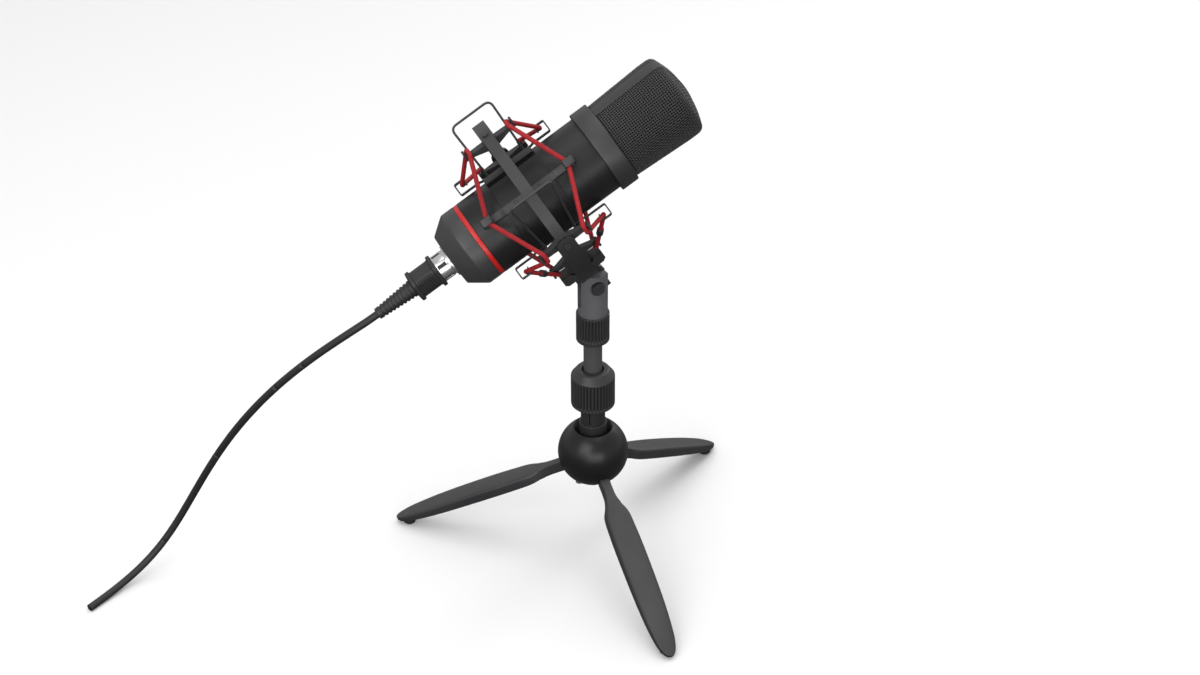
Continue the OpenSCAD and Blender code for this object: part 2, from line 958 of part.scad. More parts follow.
module clevis() {
    r = clevis_d / 2;
    color("#39393c")
        difference() {
            union() {
                translate([0, 0, nut_z1 - 5])
                    cylinder(h = pivot_h + 7.5 - nut_z1 + 5, r = r);
                translate([0, 0, nut_z1 - 12])
                    cylinder(h = 8, r = 7.6);
                translate([0, 0, nut_z0 - 5])
                    cylinder(h = 20, r = 4);
            }
            translate([-20, -slot_w / 2, pivot_h - 15])
                cube([40, slot_w, 40]);
            translate([0, 15, pivot_h])
                rotate([90, 0, 0])
                    cylinder(h = 30, r = 2 + gap);
            for (side = [-1, 1])
                translate([0, side > 0 ? 12.2 : -7.2, pivot_h])
                    rotate([90, 0, 0])
                        cylinder(h = 5, r = 4.6);
            // the ears' corners are cut back to a circle round the pivot
            difference() {
                translate([-20, -20, pivot_h])
                    cube([40, 40, 20]);
                translate([0, 21, pivot_h])
                    rotate([90, 0, 0])
                        cylinder(h = 42, r = 9.8);
            }
        }
}

module swivel_nut() {
    r = swivel_nut_d / 2;
    color("#242426")
        difference() {
            union() {
                translate([0, 0, nut_z0])
                    cylinder(h = 0.6, r1 = r - 0.6, r2 = r);
                translate([0, 0, nut_z0 + 0.6])
                    cylinder(h = 1.8, r = r);
                translate([0, 0, nut_z0 + 2.4])
                    fluted(r, nut_z1 - nut_z0 - 3, 32, 0.5);
                translate([0, 0, nut_z1 - 0.6])
                    cylinder(h = 0.6, r = r - 0.5);
            }
            translate([0, 0, nut_z0 - 1])
                cylinder(h = 30, r = post_r + gap);
            translate([0, 0, nut_z0 + 3.5])
                cylinder(h = 30, r = 7.8);
            translate([0, 0, nut_z1 - 5.2])
                cylinder(h = 10, r = clevis_d / 2 + gap);
        }
}

module post_tube() {
    bottom = 17.3;
    shoulder = nut_z0 + 4;
    shoulder_h = 2.2;
    color("#47474b")
        difference() {
            union() {
                translate([0, 0, bottom])
                    cylinder(h = shoulder + shoulder_h - bottom, r = post_r);
                translate([0, 0, shoulder])
                    cylinder(h = shoulder_h, r = 7);
            }
            translate([0, 0, bottom - 1])
                cylinder(h = 200, r = 4 + gap);
        }
}

// ---------- lower stand ----------

collar_z0 = 54.3;                 // bottom of the lock collar
collar_z1 = 78.6;                 // top of the lock collar
collet_z0 = 62.6;                 // bottom of the collet, on top of the neck
collet_z1 = collet_z0 + 13;

module lock_collar() {
    r = lock_collar_d / 2;
    shoulder = collar_z1 - 4.6;
    color("#202022")
        difference() {
            union() {
                translate([0, 0, collar_z0])
                    cylinder(h = 0.8, r1 = r - 1.2, r2 = r - 0.4);
                translate([0, 0, collar_z0 + 0.8])
                    fluted(r, shoulder - 0.4 - collar_z0 - 0.8, 40, 0.6);
                translate([0, 0, shoulder - 0.4])
                    cylinder(h = 0.4, r = r);
                translate([0, 0, shoulder])
                    cylinder(h = 4.6, r1 = r, r2 = r - 3.5);
            }
            translate([0, 0, collar_z0 - 1])
                cylinder(h = collet_z0 + 9 - collar_z0, r = 7.7);
            translate([0, 0, collet_z0 + 7.9])
                cylinder(h = 6, r1 = 7.7, r2 = 6.4);
            translate([0, 0, collet_z0 + 9])
                cylinder(h = 10, r = 6.4);
        }
}

module collet() {
    color("#141415")
        difference() {
            union() {
                translate([0, 0, collet_z0])
                    cylinder(h = 7, r = 7.4);
                translate([0, 0, collet_z0 + 7])
                    cylinder(h = collet_z1 - collet_z0 - 7, r1 = 7.4, r2 = 6.2);
            }
            translate([0, 0, collet_z0 - 1])
                cylinder(h = 20, r = post_r + gap);
            translate([0, -0.6, collet_z0 - 1])
                cube([20, 1.2, 20]);
        }
}

// The neck has a flange above the ball and a thinner top that is slit so that it can grip.
module neck() {
    flange_z1 = 41.6;
    slit_turn = 54;
    color("#1d1d1f")
        difference() {
            union() {
                translate([0, 0, 24])
                    cylinder(h = 6, r = 7);
                translate([0, 0, 30])
                    cylinder(h = flange_z1 - 0.4 - 30, r = neck_d / 2);
                translate([0, 0, flange_z1 - 0.4])
                    cylinder(h = 0.4, r1 = neck_d / 2, r2 = neck_d / 2 - 0.4);
                translate([0, 0, flange_z1 - 0.2])
                    cylinder(h = 62 - flange_z1 + 0.2, r = 7.25);
            }
            translate([0, 0, 20])
                cylinder(h = 60, r = post_r + gap);
            for (a = [0, 90])
                rotate([0, 0, slit_turn + a])
                    translate([-10, -0.5, flange_z1 + 1.2])
                        cube([20, 1, 30]);
        }
}

// Room for a leg: from its open place down to its folded place.
module leg_slot() {
    half = 3.3;
    r = leg_t / 2 + 0.4;
    up = [sin(leg_slope), cos(leg_slope)];
    out = [cos(leg_slope), -sin(leg_slope)];
    hinge = [hinge_r, hinge_h];
    translate([0, half, 0])
        rotate([90, 0, 0])
            linear_extrude(2 * half)
                union() {
                    polygon([
                        hinge + r * up, hinge + r * up + 30 * out, [60, -60],
                        [hinge_r - r, -60], [hinge_r - r, hinge_h]
                    ]);
                    translate(hinge)
                        circle(r);
                }
}

module hub_ball() {
    difference() {
        translate([0, 0, hub_c])
            sphere(hub_r);
        translate([0, 0, -50])
            cube([100, 100, 100], center = true);
        translate([0, 0, 2])
            cylinder(h = 60, r = post_r + 0.3);
        for (a = leg_turns)
            rotate([0, 0, a]) {
                leg_slot();
                translate([hinge_r, 6.6, hinge_h])
                    rotate([90, 0, 0])
                        cylinder(h = 13.2, r = 1.25 + 0.02);
            }
    }
}

module hub_top() {
    color("#262628")
        difference() {
            hub_ball();
            translate([0, 0, hinge_h - 50])
                cube([100, 100, 100], center = true);
            translate([0, 0, 30])
                cylinder(h = 60, r = neck_d / 2 + 0.2);
            // the top of the ball is flat and dished round the neck
            translate([-50, -50, 37])
                cube([100, 100, 20]);
            translate([0, 0, 33.5])
                cylinder(h = 4, r1 = neck_d / 2 + 0.3, r2 = neck_d / 2 + 3.6);
            translate([0, 0, 24])
                cylinder(h = 20, r = 7 + gap);
            for (a = leg_turns)
                rotate([0, 0, a + 60])
                    translate([13, 0, 0])
                        cylinder(h = 18, r = screw_r + gap);
        }
}

module hub_bottom() {
    color("#232325")
        intersection() {
            difference() {
                hub_ball();
                for (a = leg_turns)
                    rotate([0, 0, a + 60])
                        translate([13, 0, 0]) {
                            cylinder(h = 18, r = screw_r + gap);
                            translate([0, 0, -1])
                                cylinder(h = 6.4, r = 2.6);
                        }
            }
            translate([-50, -50, -1])
                cube([100, 100, 1 + hinge_h - 0.02]);
        }
}

module hub_screws() {
    color("#7d8084")
        for (a = leg_turns)
            rotate([0, 0, a + 60])
                translate([13, 0, 0]) {
                    translate([0, 0, 5])
                        cylinder(h = 12, r = screw_r);
                    difference() {
                        translate([0, 0, 3.7])
                            cylinder(h = 1.65, r = 2.3);
                        translate([0, 0, 3])
                            cylinder(h = 1.5, r = 1.1, $fn = 6);
                    }
                }
}

module leg_pins() {
    color("#8a8d91")
        for (a = leg_turns)
            rotate([0, 0, a])
                translate([hinge_r, 6.4, hinge_h])
                    rotate([90, 0, 0])
                        cylinder(h = 12.8, r = 1.25);
}

// ---------- legs ----------

// Half width of a leg along its length: eye, neck, broad blade and blunt tip.
leg_plan_half = [
    [-5, 3], [14, 3], [19, 4.1], [26, leg_w / 2 - 1.2], [34, leg_w / 2 - 0.4], [56, leg_w / 2],
    [90, leg_w / 2 - 0.6], [110, leg_w / 2 - 2.2], [leg_len - 3.5, leg_w / 2 - 4.2],
    [leg_len - 0.6, leg_w / 2 - 6.4]
];

module leg_plan() {
    polygon(concat(
        leg_plan_half,
        [[leg_len, 0]],
        [for (i = [len(leg_plan_half) - 1:-1:0]) [leg_plan_half[i][0], -leg_plan_half[i][1]]]
    ));
}

// Side view: the top is a little arched and the tip thins to a blade.
module leg_side() {
    h = leg_t / 2;
    polygon(concat(
        [
            [16, h], [30, h + 0.5], [60, h + 0.6], [90, h + 0.1], [110, h - 0.9],
            [leg_len, h - 2.2], [leg_len, -1.1], [leg_len - 3, -1.9], [100, -h + 0.3], [60, -h]
        ],
        [for (a = [270:-15:90]) [h * cos(a), h * sin(a)]]
    ));
}

module leg(a) {
    color("#2a2a2c")
        rotate([0, 0, a])
            difference() {
                translate([hinge_r, 0, hinge_h])
                    rotate([0, leg_slope, 0])
                        difference() {
                            intersection() {
                                translate([0, 20, 0])
                                    rotate([90, 0, 0])
                                        linear_extrude(40)
                                            leg_side();
                                translate([0, 0, -10])
                                    linear_extrude(20)
                                        leg_plan();
                            }
                            translate([0, 10, 0])
                                rotate([90, 0, 0])
                                    cylinder(h = 20, r = 1.25 + gap);
                        }
                translate([foot_r, 0, desk_z - 5])
                    cylinder(h = 10.25, r = 3.6 + gap);
            }
}

module leg_front() {
    leg(leg_turns[0]);
}

module leg_right() {
    leg(leg_turns[1]);
}

module leg_left() {
    leg(leg_turns[2]);
}

// A rubber pad set in the underside of a leg near its tip.
module foot(a) {
    color("#0f0f10")
        rotate([0, 0, a])
            translate([foot_r, 0, desk_z]) {
                cylinder(h = 0.5, r1 = 3.1, r2 = 3.6);
                translate([0, 0, 0.5])
                    cylinder(h = 4.7, r = 3.6);
            }
}

module foot_front() {
    foot(leg_turns[0]);
}

module foot_right() {
    foot(leg_turns[1]);
}

module foot_left() {
    foot(leg_turns[2]);
}

// ---------- what is drawn ----------

bottom_cap();
accent_ring();
body_tube();
head_collar();
head_frame();
grille_front();
grille_rear();
gauze_liner();
capsule_housing();
capsule_backplate();
capsule_diaphragms();
capsule_saddle();
chassis();
circuit_board();
board_parts();
socket_shell();
socket_insert();
socket_pins();
plug_barrel();
plug_insert();
plug_body();
strain_relief();
cable();
jaw_near();
jaw_far();
pad_near();
pad_far();
handle_near();
handle_far();
hook_strips_near();
hook_strips_far();
clamp_pin();
clamp_spring();
yoke_ring();
near_strap();
boot();
cord_arms();
yoke_screws();
cord_lower();
cord_upper();
cord_crimps();
pivot_bolt();
pivot_nut();
clevis();
swivel_nut();
post_tube();
lock_collar();
collet();
neck();
hub_top();
hub_bottom();
hub_screws();
leg_pins();
leg_front();
leg_right();
leg_left();
foot_front();
foot_right();
foot_left();
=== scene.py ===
import json
import math
import bpy
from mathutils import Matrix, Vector


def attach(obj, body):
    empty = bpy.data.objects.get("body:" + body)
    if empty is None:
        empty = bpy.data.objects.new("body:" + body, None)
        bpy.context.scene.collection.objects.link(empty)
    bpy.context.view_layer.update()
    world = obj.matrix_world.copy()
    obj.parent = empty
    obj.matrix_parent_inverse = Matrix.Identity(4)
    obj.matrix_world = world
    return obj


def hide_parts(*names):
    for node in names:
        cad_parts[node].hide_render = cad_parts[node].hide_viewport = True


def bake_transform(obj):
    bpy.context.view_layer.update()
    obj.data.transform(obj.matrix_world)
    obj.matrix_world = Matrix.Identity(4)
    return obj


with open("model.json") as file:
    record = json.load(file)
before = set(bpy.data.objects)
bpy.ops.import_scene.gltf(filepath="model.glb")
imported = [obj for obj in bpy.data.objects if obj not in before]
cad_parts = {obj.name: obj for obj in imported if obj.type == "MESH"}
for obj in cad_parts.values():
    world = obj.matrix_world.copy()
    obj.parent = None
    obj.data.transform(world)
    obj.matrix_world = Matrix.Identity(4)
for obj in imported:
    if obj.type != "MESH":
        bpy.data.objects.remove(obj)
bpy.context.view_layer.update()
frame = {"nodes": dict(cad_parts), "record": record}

MM = 0.001
DESK_Z = -46.7


# ---------- node materials ----------

EDGE_ROUND = 0.25     # how far from an edge a coat looks rounded, in mm
GRAIN_DEPTH = 0.02    # height of a coat's grain, in mm
ROUGH_DRIFT = 0.06    # how far the roughness drifts either way
MIX_FACTOR, MIX_COLOURS, MIX_RESULT = 0, (6, 7), 2    # colour sockets of a mix node


def shader(name):
    """A node material, its nodes, its links and its Principled node."""
    mat = bpy.data.materials.new(name)
    mat.use_nodes = True
    tree = mat.node_tree
    return mat, tree.nodes, tree.links, tree.nodes["Principled BSDF"]


def noise(nodes, links, coords, scale, detail=4.0, rough=0.55):
    n = nodes.new("ShaderNodeTexNoise")
    n.inputs["Scale"].default_value = scale
    n.inputs["Detail"].default_value = detail
    n.inputs["Roughness"].default_value = rough
    links.new(coords, n.inputs["Vector"])
    return n.outputs["Fac"]


def remap(nodes, links, value, low, high, from_low=0.3, from_high=0.7):
    r = nodes.new("ShaderNodeMapRange")
    r.inputs["From Min"].default_value = from_low
    r.inputs["From Max"].default_value = from_high
    r.inputs["To Min"].default_value = low
    r.inputs["To Max"].default_value = high
    links.new(value, r.inputs["Value"])
    return r.outputs["Result"]


def maths(nodes, links, operation, *values):
    """A maths node; each value is a number or a socket."""
    n = nodes.new("ShaderNodeMath")
    n.operation = operation
    for k, value in enumerate(values):
        if isinstance(value, (int, float)):
            n.inputs[k].default_value = value
        else:
            links.new(value, n.inputs[k])
    return n.outputs[0]


def mix_colours(nodes, links, factor, *colours):
    """A mix of two colours; each is three numbers or a socket."""
    n = nodes.new("ShaderNodeMix")
    n.data_type = "RGBA"
    links.new(factor, n.inputs[MIX_FACTOR])
    for socket, colour in zip(MIX_COLOURS, colours):
        if isinstance(colour, (list, tuple)):
            n.inputs[socket].default_value = (*colour, 1)
        else:
            links.new(colour, n.inputs[socket])
    return n.outputs[MIX_RESULT]


def rough_skin(nodes, links, bsdf, height, strength, depth, normal=None):
    """Bumps a surface by a height socket; depth is in mm."""
    bump = nodes.new("ShaderNodeBump")
    bump.inputs["Strength"].default_value = strength
    bump.inputs["Distance"].default_value = depth * MM
    links.new(height, bump.inputs["Height"])
    if normal is not None:
        links.new(normal, bump.inputs["Normal"])
    links.new(bump.outputs["Normal"], bsdf.inputs["Normal"])


def edge_wear(nodes, links, round_normal, smudge, edge):
    """Nothing on flat faces; up to edge, in patches, along the edges."""
    geo = nodes.new("ShaderNodeNewGeometry")
    dot = nodes.new("ShaderNodeVectorMath")
    dot.operation = "DOT_PRODUCT"
    links.new(round_normal, dot.inputs[0])
    links.new(geo.outputs["Normal"], dot.inputs[1])
    rim = remap(nodes, links, dot.outputs["Value"], 1.0, 0.0, 0.86, 0.995)
    patches = remap(nodes, links, smudge, 0.0, edge, 0.35, 0.65)
    return maths(nodes, links, "MULTIPLY", rim, patches)


def finish_coat(name, colour, rough, grain=2200, metal=0.0, edge=0.25, spec=0.5):
    """A coat whose colour and roughness drift, with a fine grain and paler edges."""
    mat, nodes, links, bsdf = shader(name)
    coords = nodes.new("ShaderNodeTexCoord").outputs["Object"]
    smudge = noise(nodes, links, coords, 90, 6.0, 0.7)
    soft = nodes.new("ShaderNodeBevel")
    soft.samples = 4
    soft.inputs["Radius"].default_value = EDGE_ROUND * MM
    drift = remap(nodes, links, noise(nodes, links, coords, 28), 0, 1)
    deep, light, pale = ([min(1, c * scale + lift) for c in colour]
                         for scale, lift in ((0.86, 0), (1.14, 0), (3, 0.04)))
    tone = mix_colours(nodes, links, drift, deep, light)
    wear = edge_wear(nodes, links, soft.outputs["Normal"], smudge, edge)
    links.new(mix_colours(nodes, links, wear, tone, pale), bsdf.inputs["Base Color"])
    gloss = remap(nodes, links, smudge, rough - ROUGH_DRIFT, rough + ROUGH_DRIFT)
    links.new(gloss, bsdf.inputs["Roughness"])
    fine = noise(nodes, links, coords, grain, 2.0)
    rough_skin(nodes, links, bsdf, fine, 0.35, GRAIN_DEPTH, soft.outputs["Normal"])
    bsdf.inputs["Metallic"].default_value = metal
    bsdf.inputs["Specular IOR Level"].default_value = spec
    return mat


COATS = {
    "dark_metal": finish_coat("satin_coat", (0.026, 0.026, 0.028), 0.42),
    "dark_anodised": finish_coat("anodised", (0.022, 0.022, 0.024), 0.36, edge=0.35),
    "black_plastic": finish_coat("moulded_black", (0.016, 0.016, 0.017), 0.5, grain=1500),
    "gloss_black": finish_coat("ball_gloss", (0.007, 0.007, 0.008), 0.34, grain=900, spec=0.38),
    "accent_red": finish_coat("ring_red", (0.5, 0.009, 0.007), 0.35),
    "grille_mesh": finish_coat("mesh_black", (0.04, 0.04, 0.042), 0.4),
    "bright_metal": finish_coat("bright_nickel", (0.82, 0.82, 0.83), 0.2, metal=1.0, edge=0.1),
    "steel": finish_coat("plain_steel", (0.55, 0.55, 0.56), 0.3, metal=1.0, edge=0.1),
    "gold": finish_coat("gold_flash", (0.85, 0.6, 0.25), 0.25, metal=1.0, edge=0.1),
    "cord_red": finish_coat("cord_red", (0.5, 0.008, 0.014), 0.6),
    "cable_rubber": finish_coat("cable_rubber", (0.012, 0.012, 0.013), 0.55),
    "pad_rubber": finish_coat("pad_rubber", (0.014, 0.014, 0.014), 0.7),
    "board_green": finish_coat("board_green", (0.02, 0.12, 0.05), 0.4),
}

# Nodes whose coat differs a little from the rest of their slot; the cap, the clevis and the post tube are
# painted lighter than the other dark metal as painted light.
WIRE_COAT = finish_coat("wire_coat", (0.03, 0.03, 0.032), 0.36, spec=0.6)
JAW_COAT = finish_coat("jaw_coat", (0.006, 0.006, 0.007), 0.45, grain=1500, spec=0.35)
NODE_COATS_AND_PAINTED_LIGHT = {
    "gauze_liner": finish_coat("inner_gauze", (0.004, 0.004, 0.004), 0.8),
    "body_tube": finish_coat("tube_coat", (0.009, 0.009, 0.01), 0.4, spec=0.37),
    # the cap's lighter grey is painted light, as if lit from the left
    "bottom_cap": finish_coat("cap_painted_light", (0.036, 0.036, 0.038), 0.4),
    "jaw_near": JAW_COAT,
    "jaw_far": JAW_COAT,
    "handle_near": WIRE_COAT,
    "handle_far": WIRE_COAT,
    # the clevis and the post tube are painted lighter grey: painted light from a low lamp at the front
    "clevis": finish_coat("clevis_painted_light", (0.1, 0.1, 0.105), 0.42),
    "post_tube": finish_coat("column_painted_light", (0.062, 0.062, 0.065), 0.4),
}
for part in frame["record"]["subparts"]:
    mesh = frame["nodes"][part["node"]].data
    mesh.materials.clear()
    mesh.materials.append(NODE_COATS_AND_PAINTED_LIGHT.get(part["node"]) or COATS[part["material_slot"]])


# ---------- places ----------

TILT = math.radians(30)
UP = Vector((-math.sin(TILT), 0, math.cos(TILT)))
ALONG = Vector((math.cos(TILT), 0, math.sin(TILT)))
PIVOT_Z = 138.3
PIVOT_TO_RING = 71
RING = Vector((0, 0, PIVOT_Z)) + UP * PIVOT_TO_RING
RING_W = 56.3    # the ring's centre, measured from the microphone's bottom


def at_mic(x, y, z):
    """A point of the microphone's frame: x up, y to the near side, z towards the head."""
    return RING + UP * x + Vector((0, -y, 0)) + ALONG * z


def from_bottom(x, y, w):
    """The same, with w measured from the microphone's bottom."""
    return at_mic(x, y, w - RING_W)


def upright(x, y, z):
    return Vector((x, y, z))


def turned(x, y, angle):
    """A point of a plane, turned about the origin."""
    c, s = math.cos(angle), math.sin(angle)
    return x * c - y * s, x * s + y * c


# ---------- lines and outlines ----------

def round_corner(a, b, c, cut, steps):
    """Points of the curve that rounds the corner b between a and c."""
    near = b + (a - b).normalized() * min(cut, (a - b).length * 0.45)
    far = b + (c - b).normalized() * min(cut, (c - b).length * 0.45)
    shares = [k / steps for k in range(steps + 1)]
    return [near * (1 - u) ** 2 + b * 2 * u * (1 - u) + far * u ** 2 for u in shares]


def fillet(points, cuts, steps):
    """An open path with its corners rounded; cuts has one size for each corner."""
    out = [points[0]]
    for i, cut in enumerate(cuts, 1):
        out += round_corner(points[i - 1], points[i], points[i + 1], cut, steps)
    return out + [points[-1]]


def soft_outline(points, cut, steps=4):
    """A closed flat outline with rounded corners; a point's third number is its own cut."""
    out = []
    n = len(points)
    for i, point in enumerate(points):
        a, b, c = (Vector(points[j % n][:2]) for j in (i - 1, i, i + 1))
        size = point[2] if len(point) > 2 else cut
        out += [(p.x, p.y) for p in round_corner(a, b, c, size, steps)]
    return out


def resample(points, step):
    """Evenly spaced points along an open path, and its last point."""
    out, carry = [points[0].copy()], 0.0
    for a, b in zip(points, points[1:]):
        length = (b - a).length
        d = step - carry
        while d < length:
            out.append(a.lerp(b, d / length))
            d += step
        carry = length - (d - step)
    return out + [points[-1].copy()]


def point_along(line, s):
    """The point at distance s along a path, and the direction there."""
    for a, b in zip(line, line[1:]):
        d = (b - a).length
        if s <= d:
            return a.lerp(b, s / d if d else 0), (b - a).normalized()
        s -= d
    return line[-1].copy(), (line[-1] - line[-2]).normalized()


def directions(path):
    """The direction of an open path at each of its points."""
    last = len(path) - 1
    return [(path[min(i + 1, last)] - path[max(i - 1, 0)]).normalized() for i in range(last + 1)]


# ---------- meshes ----------

def sweep(path, radius, sides):
    """Round rings along a path, and their distances. radius is a number or a function of distance."""
    rings, along, dist = [], [], 0.0
    run = directions(path)
    u = run[0].orthogonal().normalized()
    for i, p in enumerate(path):
        u = (u - run[i] * u.dot(run[i])).normalized()
        v = run[i].cross(u)
        if i:
            dist += (p - path[i - 1]).length
        r = radius(dist) if callable(radius) else radius
        angles = [2 * math.pi * k / sides for k in range(sides)]
        rings.append([p + (u * math.cos(a) + v * math.sin(a)) * r for a in angles])
        along.append(dist)
    return rings, along


def skin(rings, along=None, closed=False):
    """Vertices, faces and texture coordinates of a tube through the rings."""
    sides = len(rings[0])
    verts = [p for ring in rings for p in ring]
    faces = []
    for i in range(len(rings) if closed else len(rings) - 1):
        j = (i + 1) % len(rings)
        for k in range(sides):
            m = (k + 1) % sides
            faces.append((i * sides + k, i * sides + m, j * sides + m, j * sides + k))
    if not closed:
        faces.append(tuple(reversed(range(sides))))
        faces.append(tuple((len(rings) - 1) * sides + k for k in range(sides)))
    uvs = [(k / sides, d) for d in (along or range(len(rings))) for k in range(sides)]
    return verts, faces, uvs


def lathe(profile, segs, place, wave=None):
    """A closed outline (r, z) turned round an axis. wave(r, z, angle) may change r."""
    rings = []
    for k in range(segs):
        a = 2 * math.pi * k / segs
        radii = [(wave(r, z, a) if wave else r, z) for r, z in profile]
        rings.append([place(r * math.cos(a), r * math.sin(a), z) for r, z in radii])
    return skin(rings, closed=True)[:2]


def joined(parts):
    """Several (vertices, faces) pairs as one."""
    verts, faces = [], []
    for part_verts, part_faces in parts:
        base = len(verts)
        verts += part_verts
        faces += [tuple(i + base for i in face) for face in part_faces]
    return verts, faces


def new_object(name, verts, faces):
    """An object from points in millimetres."""
    mesh = bpy.data.meshes.new(name)
    mesh.from_pydata([Vector(v) * MM for v in verts], [], faces)
    obj = bpy.data.objects.new(name, mesh)
    bpy.context.collection.objects.link(obj)
    return obj


def cut_holes(obj, tools):
    """Cuts the tools out of a piece and removes them."""
    for tool in tools:
        mod = obj.modifiers.new("cut", "BOOLEAN")
        mod.operation = "DIFFERENCE"
        mod.solver = "EXACT"
        mod.object = tool
    bpy.context.view_layer.update()
    done = bpy.data.meshes.new_from_object(obj.evaluated_get(bpy.context.evaluated_depsgraph_get()))
    obj.modifiers.clear()
    obj.data = done
    for tool in tools:
        bpy.data.objects.remove(tool)


def add_piece(name, shape, slot, node, body=None, coat=None, uvs=None, tools=(), sharp=None):
    """A smooth piece that stands for a node, with its coat. It rides on a body if one is given."""
    obj = new_object(name, *shape)
    mesh = obj.data
    mesh.polygons.foreach_set("use_smooth", [True] * len(mesh.polygons))
    if uvs:
        layer = mesh.uv_layers.new(name="along")
        for loop in mesh.loops:
            layer.data[loop.index].uv = uvs[loop.vertex_index]
    mesh.materials.append(coat or NODE_COATS_AND_PAINTED_LIGHT.get(node) or COATS[slot])
    mesh.validate()
    if tools:
        cut_holes(obj, tools)
    if sharp:
        obj.data.set_sharp_from_angle(angle=math.radians(sharp))
    if body:
        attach(obj, body)
    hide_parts(node)
    return obj


def turned_part(name, node, slot, body, outline, cut=0.3, segs=160, place=from_bottom, wave=None,
                sharp=40, steps=4):
    """A piece turned from an outline (r, z)."""
    shape = lathe(soft_outline(outline, cut, steps), segs, place, wave)
    add_piece(name, shape, slot, node, body, sharp=sharp)


# ---------- microphone body ----------

BODY_R, BORE_R = 23.0, 21.5
CAP_TOP, RED_TOP, TUBE_TOP = 17.9, 20.6, 102.8
COLLAR_W, COLLAR_TOP, COLLAR_R = 99.8, 110.7, 25.3

turned_part("cap_shell", "bottom_cap", "dark_metal", "microphone", [
    (9.7, 0), (15.7, 0, 0.5), (BODY_R, 10, 0.8), (BODY_R, CAP_TOP, 0.25),
    (BORE_R - 0.05, CAP_TOP), (BORE_R - 0.05, CAP_TOP + 9), (19.3, CAP_TOP + 9), (19.3, 11), (9.7, 11)
])
turned_part("red_ring", "accent_ring", "accent_red", "microphone", [
    (BORE_R, CAP_TOP + 0.05), (BODY_R - 0.08, CAP_TOP + 0.05, 0.3), (BODY_R - 0.08, RED_TOP, 0.3),
    (BORE_R, RED_TOP)
], 0.1)
turned_part("main_tube", "body_tube", "dark_metal", "microphone", [
    (BORE_R, RED_TOP + 0.05), (BODY_R, RED_TOP + 0.05, 0.25), (BODY_R, TUBE_TOP), (BORE_R, TUBE_TOP)
], 0.1)
turned_part("collar_band", "head_collar", "dark_metal", "microphone", [
    (BODY_R + 0.05, COLLAR_W), (COLLAR_R, COLLAR_W, 0.55), (COLLAR_R, COLLAR_TOP, 0.55),
    (23.7, COLLAR_TOP, 0.3), (23.7, 105.02), (20, 105.02), (20, TUBE_TOP + 0.1),
    (BODY_R + 0.05, TUBE_TOP + 0.1)
])

# ---------- woven grille ----------

HEAD_W0, HEAD_TOP = COLLAR_TOP, 160.8
HEAD_BASE_R, HEAD_R = 23.6, 25.2
TAPER_TOP = HEAD_TOP - 15        # the side widens up to here
SHOULDER_R = 4.6
SHOULDER = (20.5, HEAD_TOP - 8.6)
CROWN_R = 57                     # radius of the domed top
CROWN_REACH = 21.6               # how far out the wires of the top go
CROWN_SPAN = 20.5                # length of outline that the side wires leave to the top's
WIRE_R, PITCH = 0.27, 1.42
INSET, WEAVE = 0.62, 0.2         # depth of the wires below the outline, and their lift
STRAP_CLEAR = 3.9                # the wires start beside the strap


def head_radius(w):
    """Radius of the grille's side at height w."""
    if w < TAPER_TOP:
        return HEAD_BASE_R + (HEAD_R - HEAD_BASE_R) * (w - HEAD_W0) / (TAPER_TOP - HEAD_W0)
    return HEAD_R


def crown_w(r):
    """Height of the domed top at radius r."""
    return HEAD_TOP - CROWN_R + math.sqrt(CROWN_R ** 2 - r ** 2)


def head_line():
    """The grille's outline from the collar over the shoulder to the crown, as (r, w) points."""
    points = [(head_radius(HEAD_W0 + i), HEAD_W0 + i) for i in range(42)]
    for i in range(9):
        x, y = turned(SHOULDER_R, 0, math.radians(65 * i / 8))
        points.append((SHOULDER[0] + x, SHOULDER[1] + y))
    points += [(r, crown_w(r)) for r in range(21, -1, -1)]
    return [Vector(p) for p in points if p[0] <= HEAD_R]


def lift(step, wire, first):
    """Height of a wire at a half pitch: over, level, under, level. first is 1 or -1."""
    if step % 2:
        return 0
    return first * WEAVE * (1 if (step // 2 + wire) % 2 else -1)


def side_wires(side):
    """Paths of the wires round the grille's side; side is 1 for near and -1 for far."""
    line = head_line()
    length = sum((b - a).length for a, b in zip(line, line[1:])) - CROWN_SPAN
    start = math.asin(STRAP_CLEAR / 24.6)
    span = math.pi - 2 * start
    rows, cols = int(length / PITCH), int(span * 24.4 / PITCH)

    def place(row, col, height):
        p, t = point_along(line, length * row / rows)
        q = p + Vector((t.y, -t.x)) * (height - INSET)
        a = start + span * col / cols
        return from_bottom(q.x * math.cos(a), side * q.x * math.sin(a), q.y)

    rising = [[place(i / 2, j, lift(i, j, 1)) for i in range(rows * 2 + 1)] for j in range(cols + 1)]
    round_it = [[place(i, j / 2, lift(j, i, -1)) for j in range(cols * 2 + 1)] for i in range(rows + 1)]
    return rising + round_it


def crown_wires(side):
    """Paths of the crossing wires over the domed top."""
    def place(x, y, height):
        return from_bottom(x, side * y, crown_w(math.hypot(x, y)) - INSET + height)

    half, paths = PITCH / 2, []
    count = int(CROWN_REACH / PITCH)
    for i in range(-count, count + 1):
        n = int((math.sqrt(CROWN_REACH ** 2 - (i * PITCH) ** 2) - STRAP_CLEAR) / half)
        if n > 1:
            paths.append([place(i * PITCH, STRAP_CLEAR + k * half, lift(k, i, 1)) for k in range(n + 1)])
    for k in range(int((CROWN_REACH - STRAP_CLEAR) / PITCH) + 1):
        y = STRAP_CLEAR + k * PITCH
        if y < CROWN_REACH - 1:
            n = int(math.sqrt(CROWN_REACH ** 2 - y ** 2) / half)
            paths.append([place(i * half, y, lift(i, k, -1)) for i in range(-n, n + 1)])
    return paths


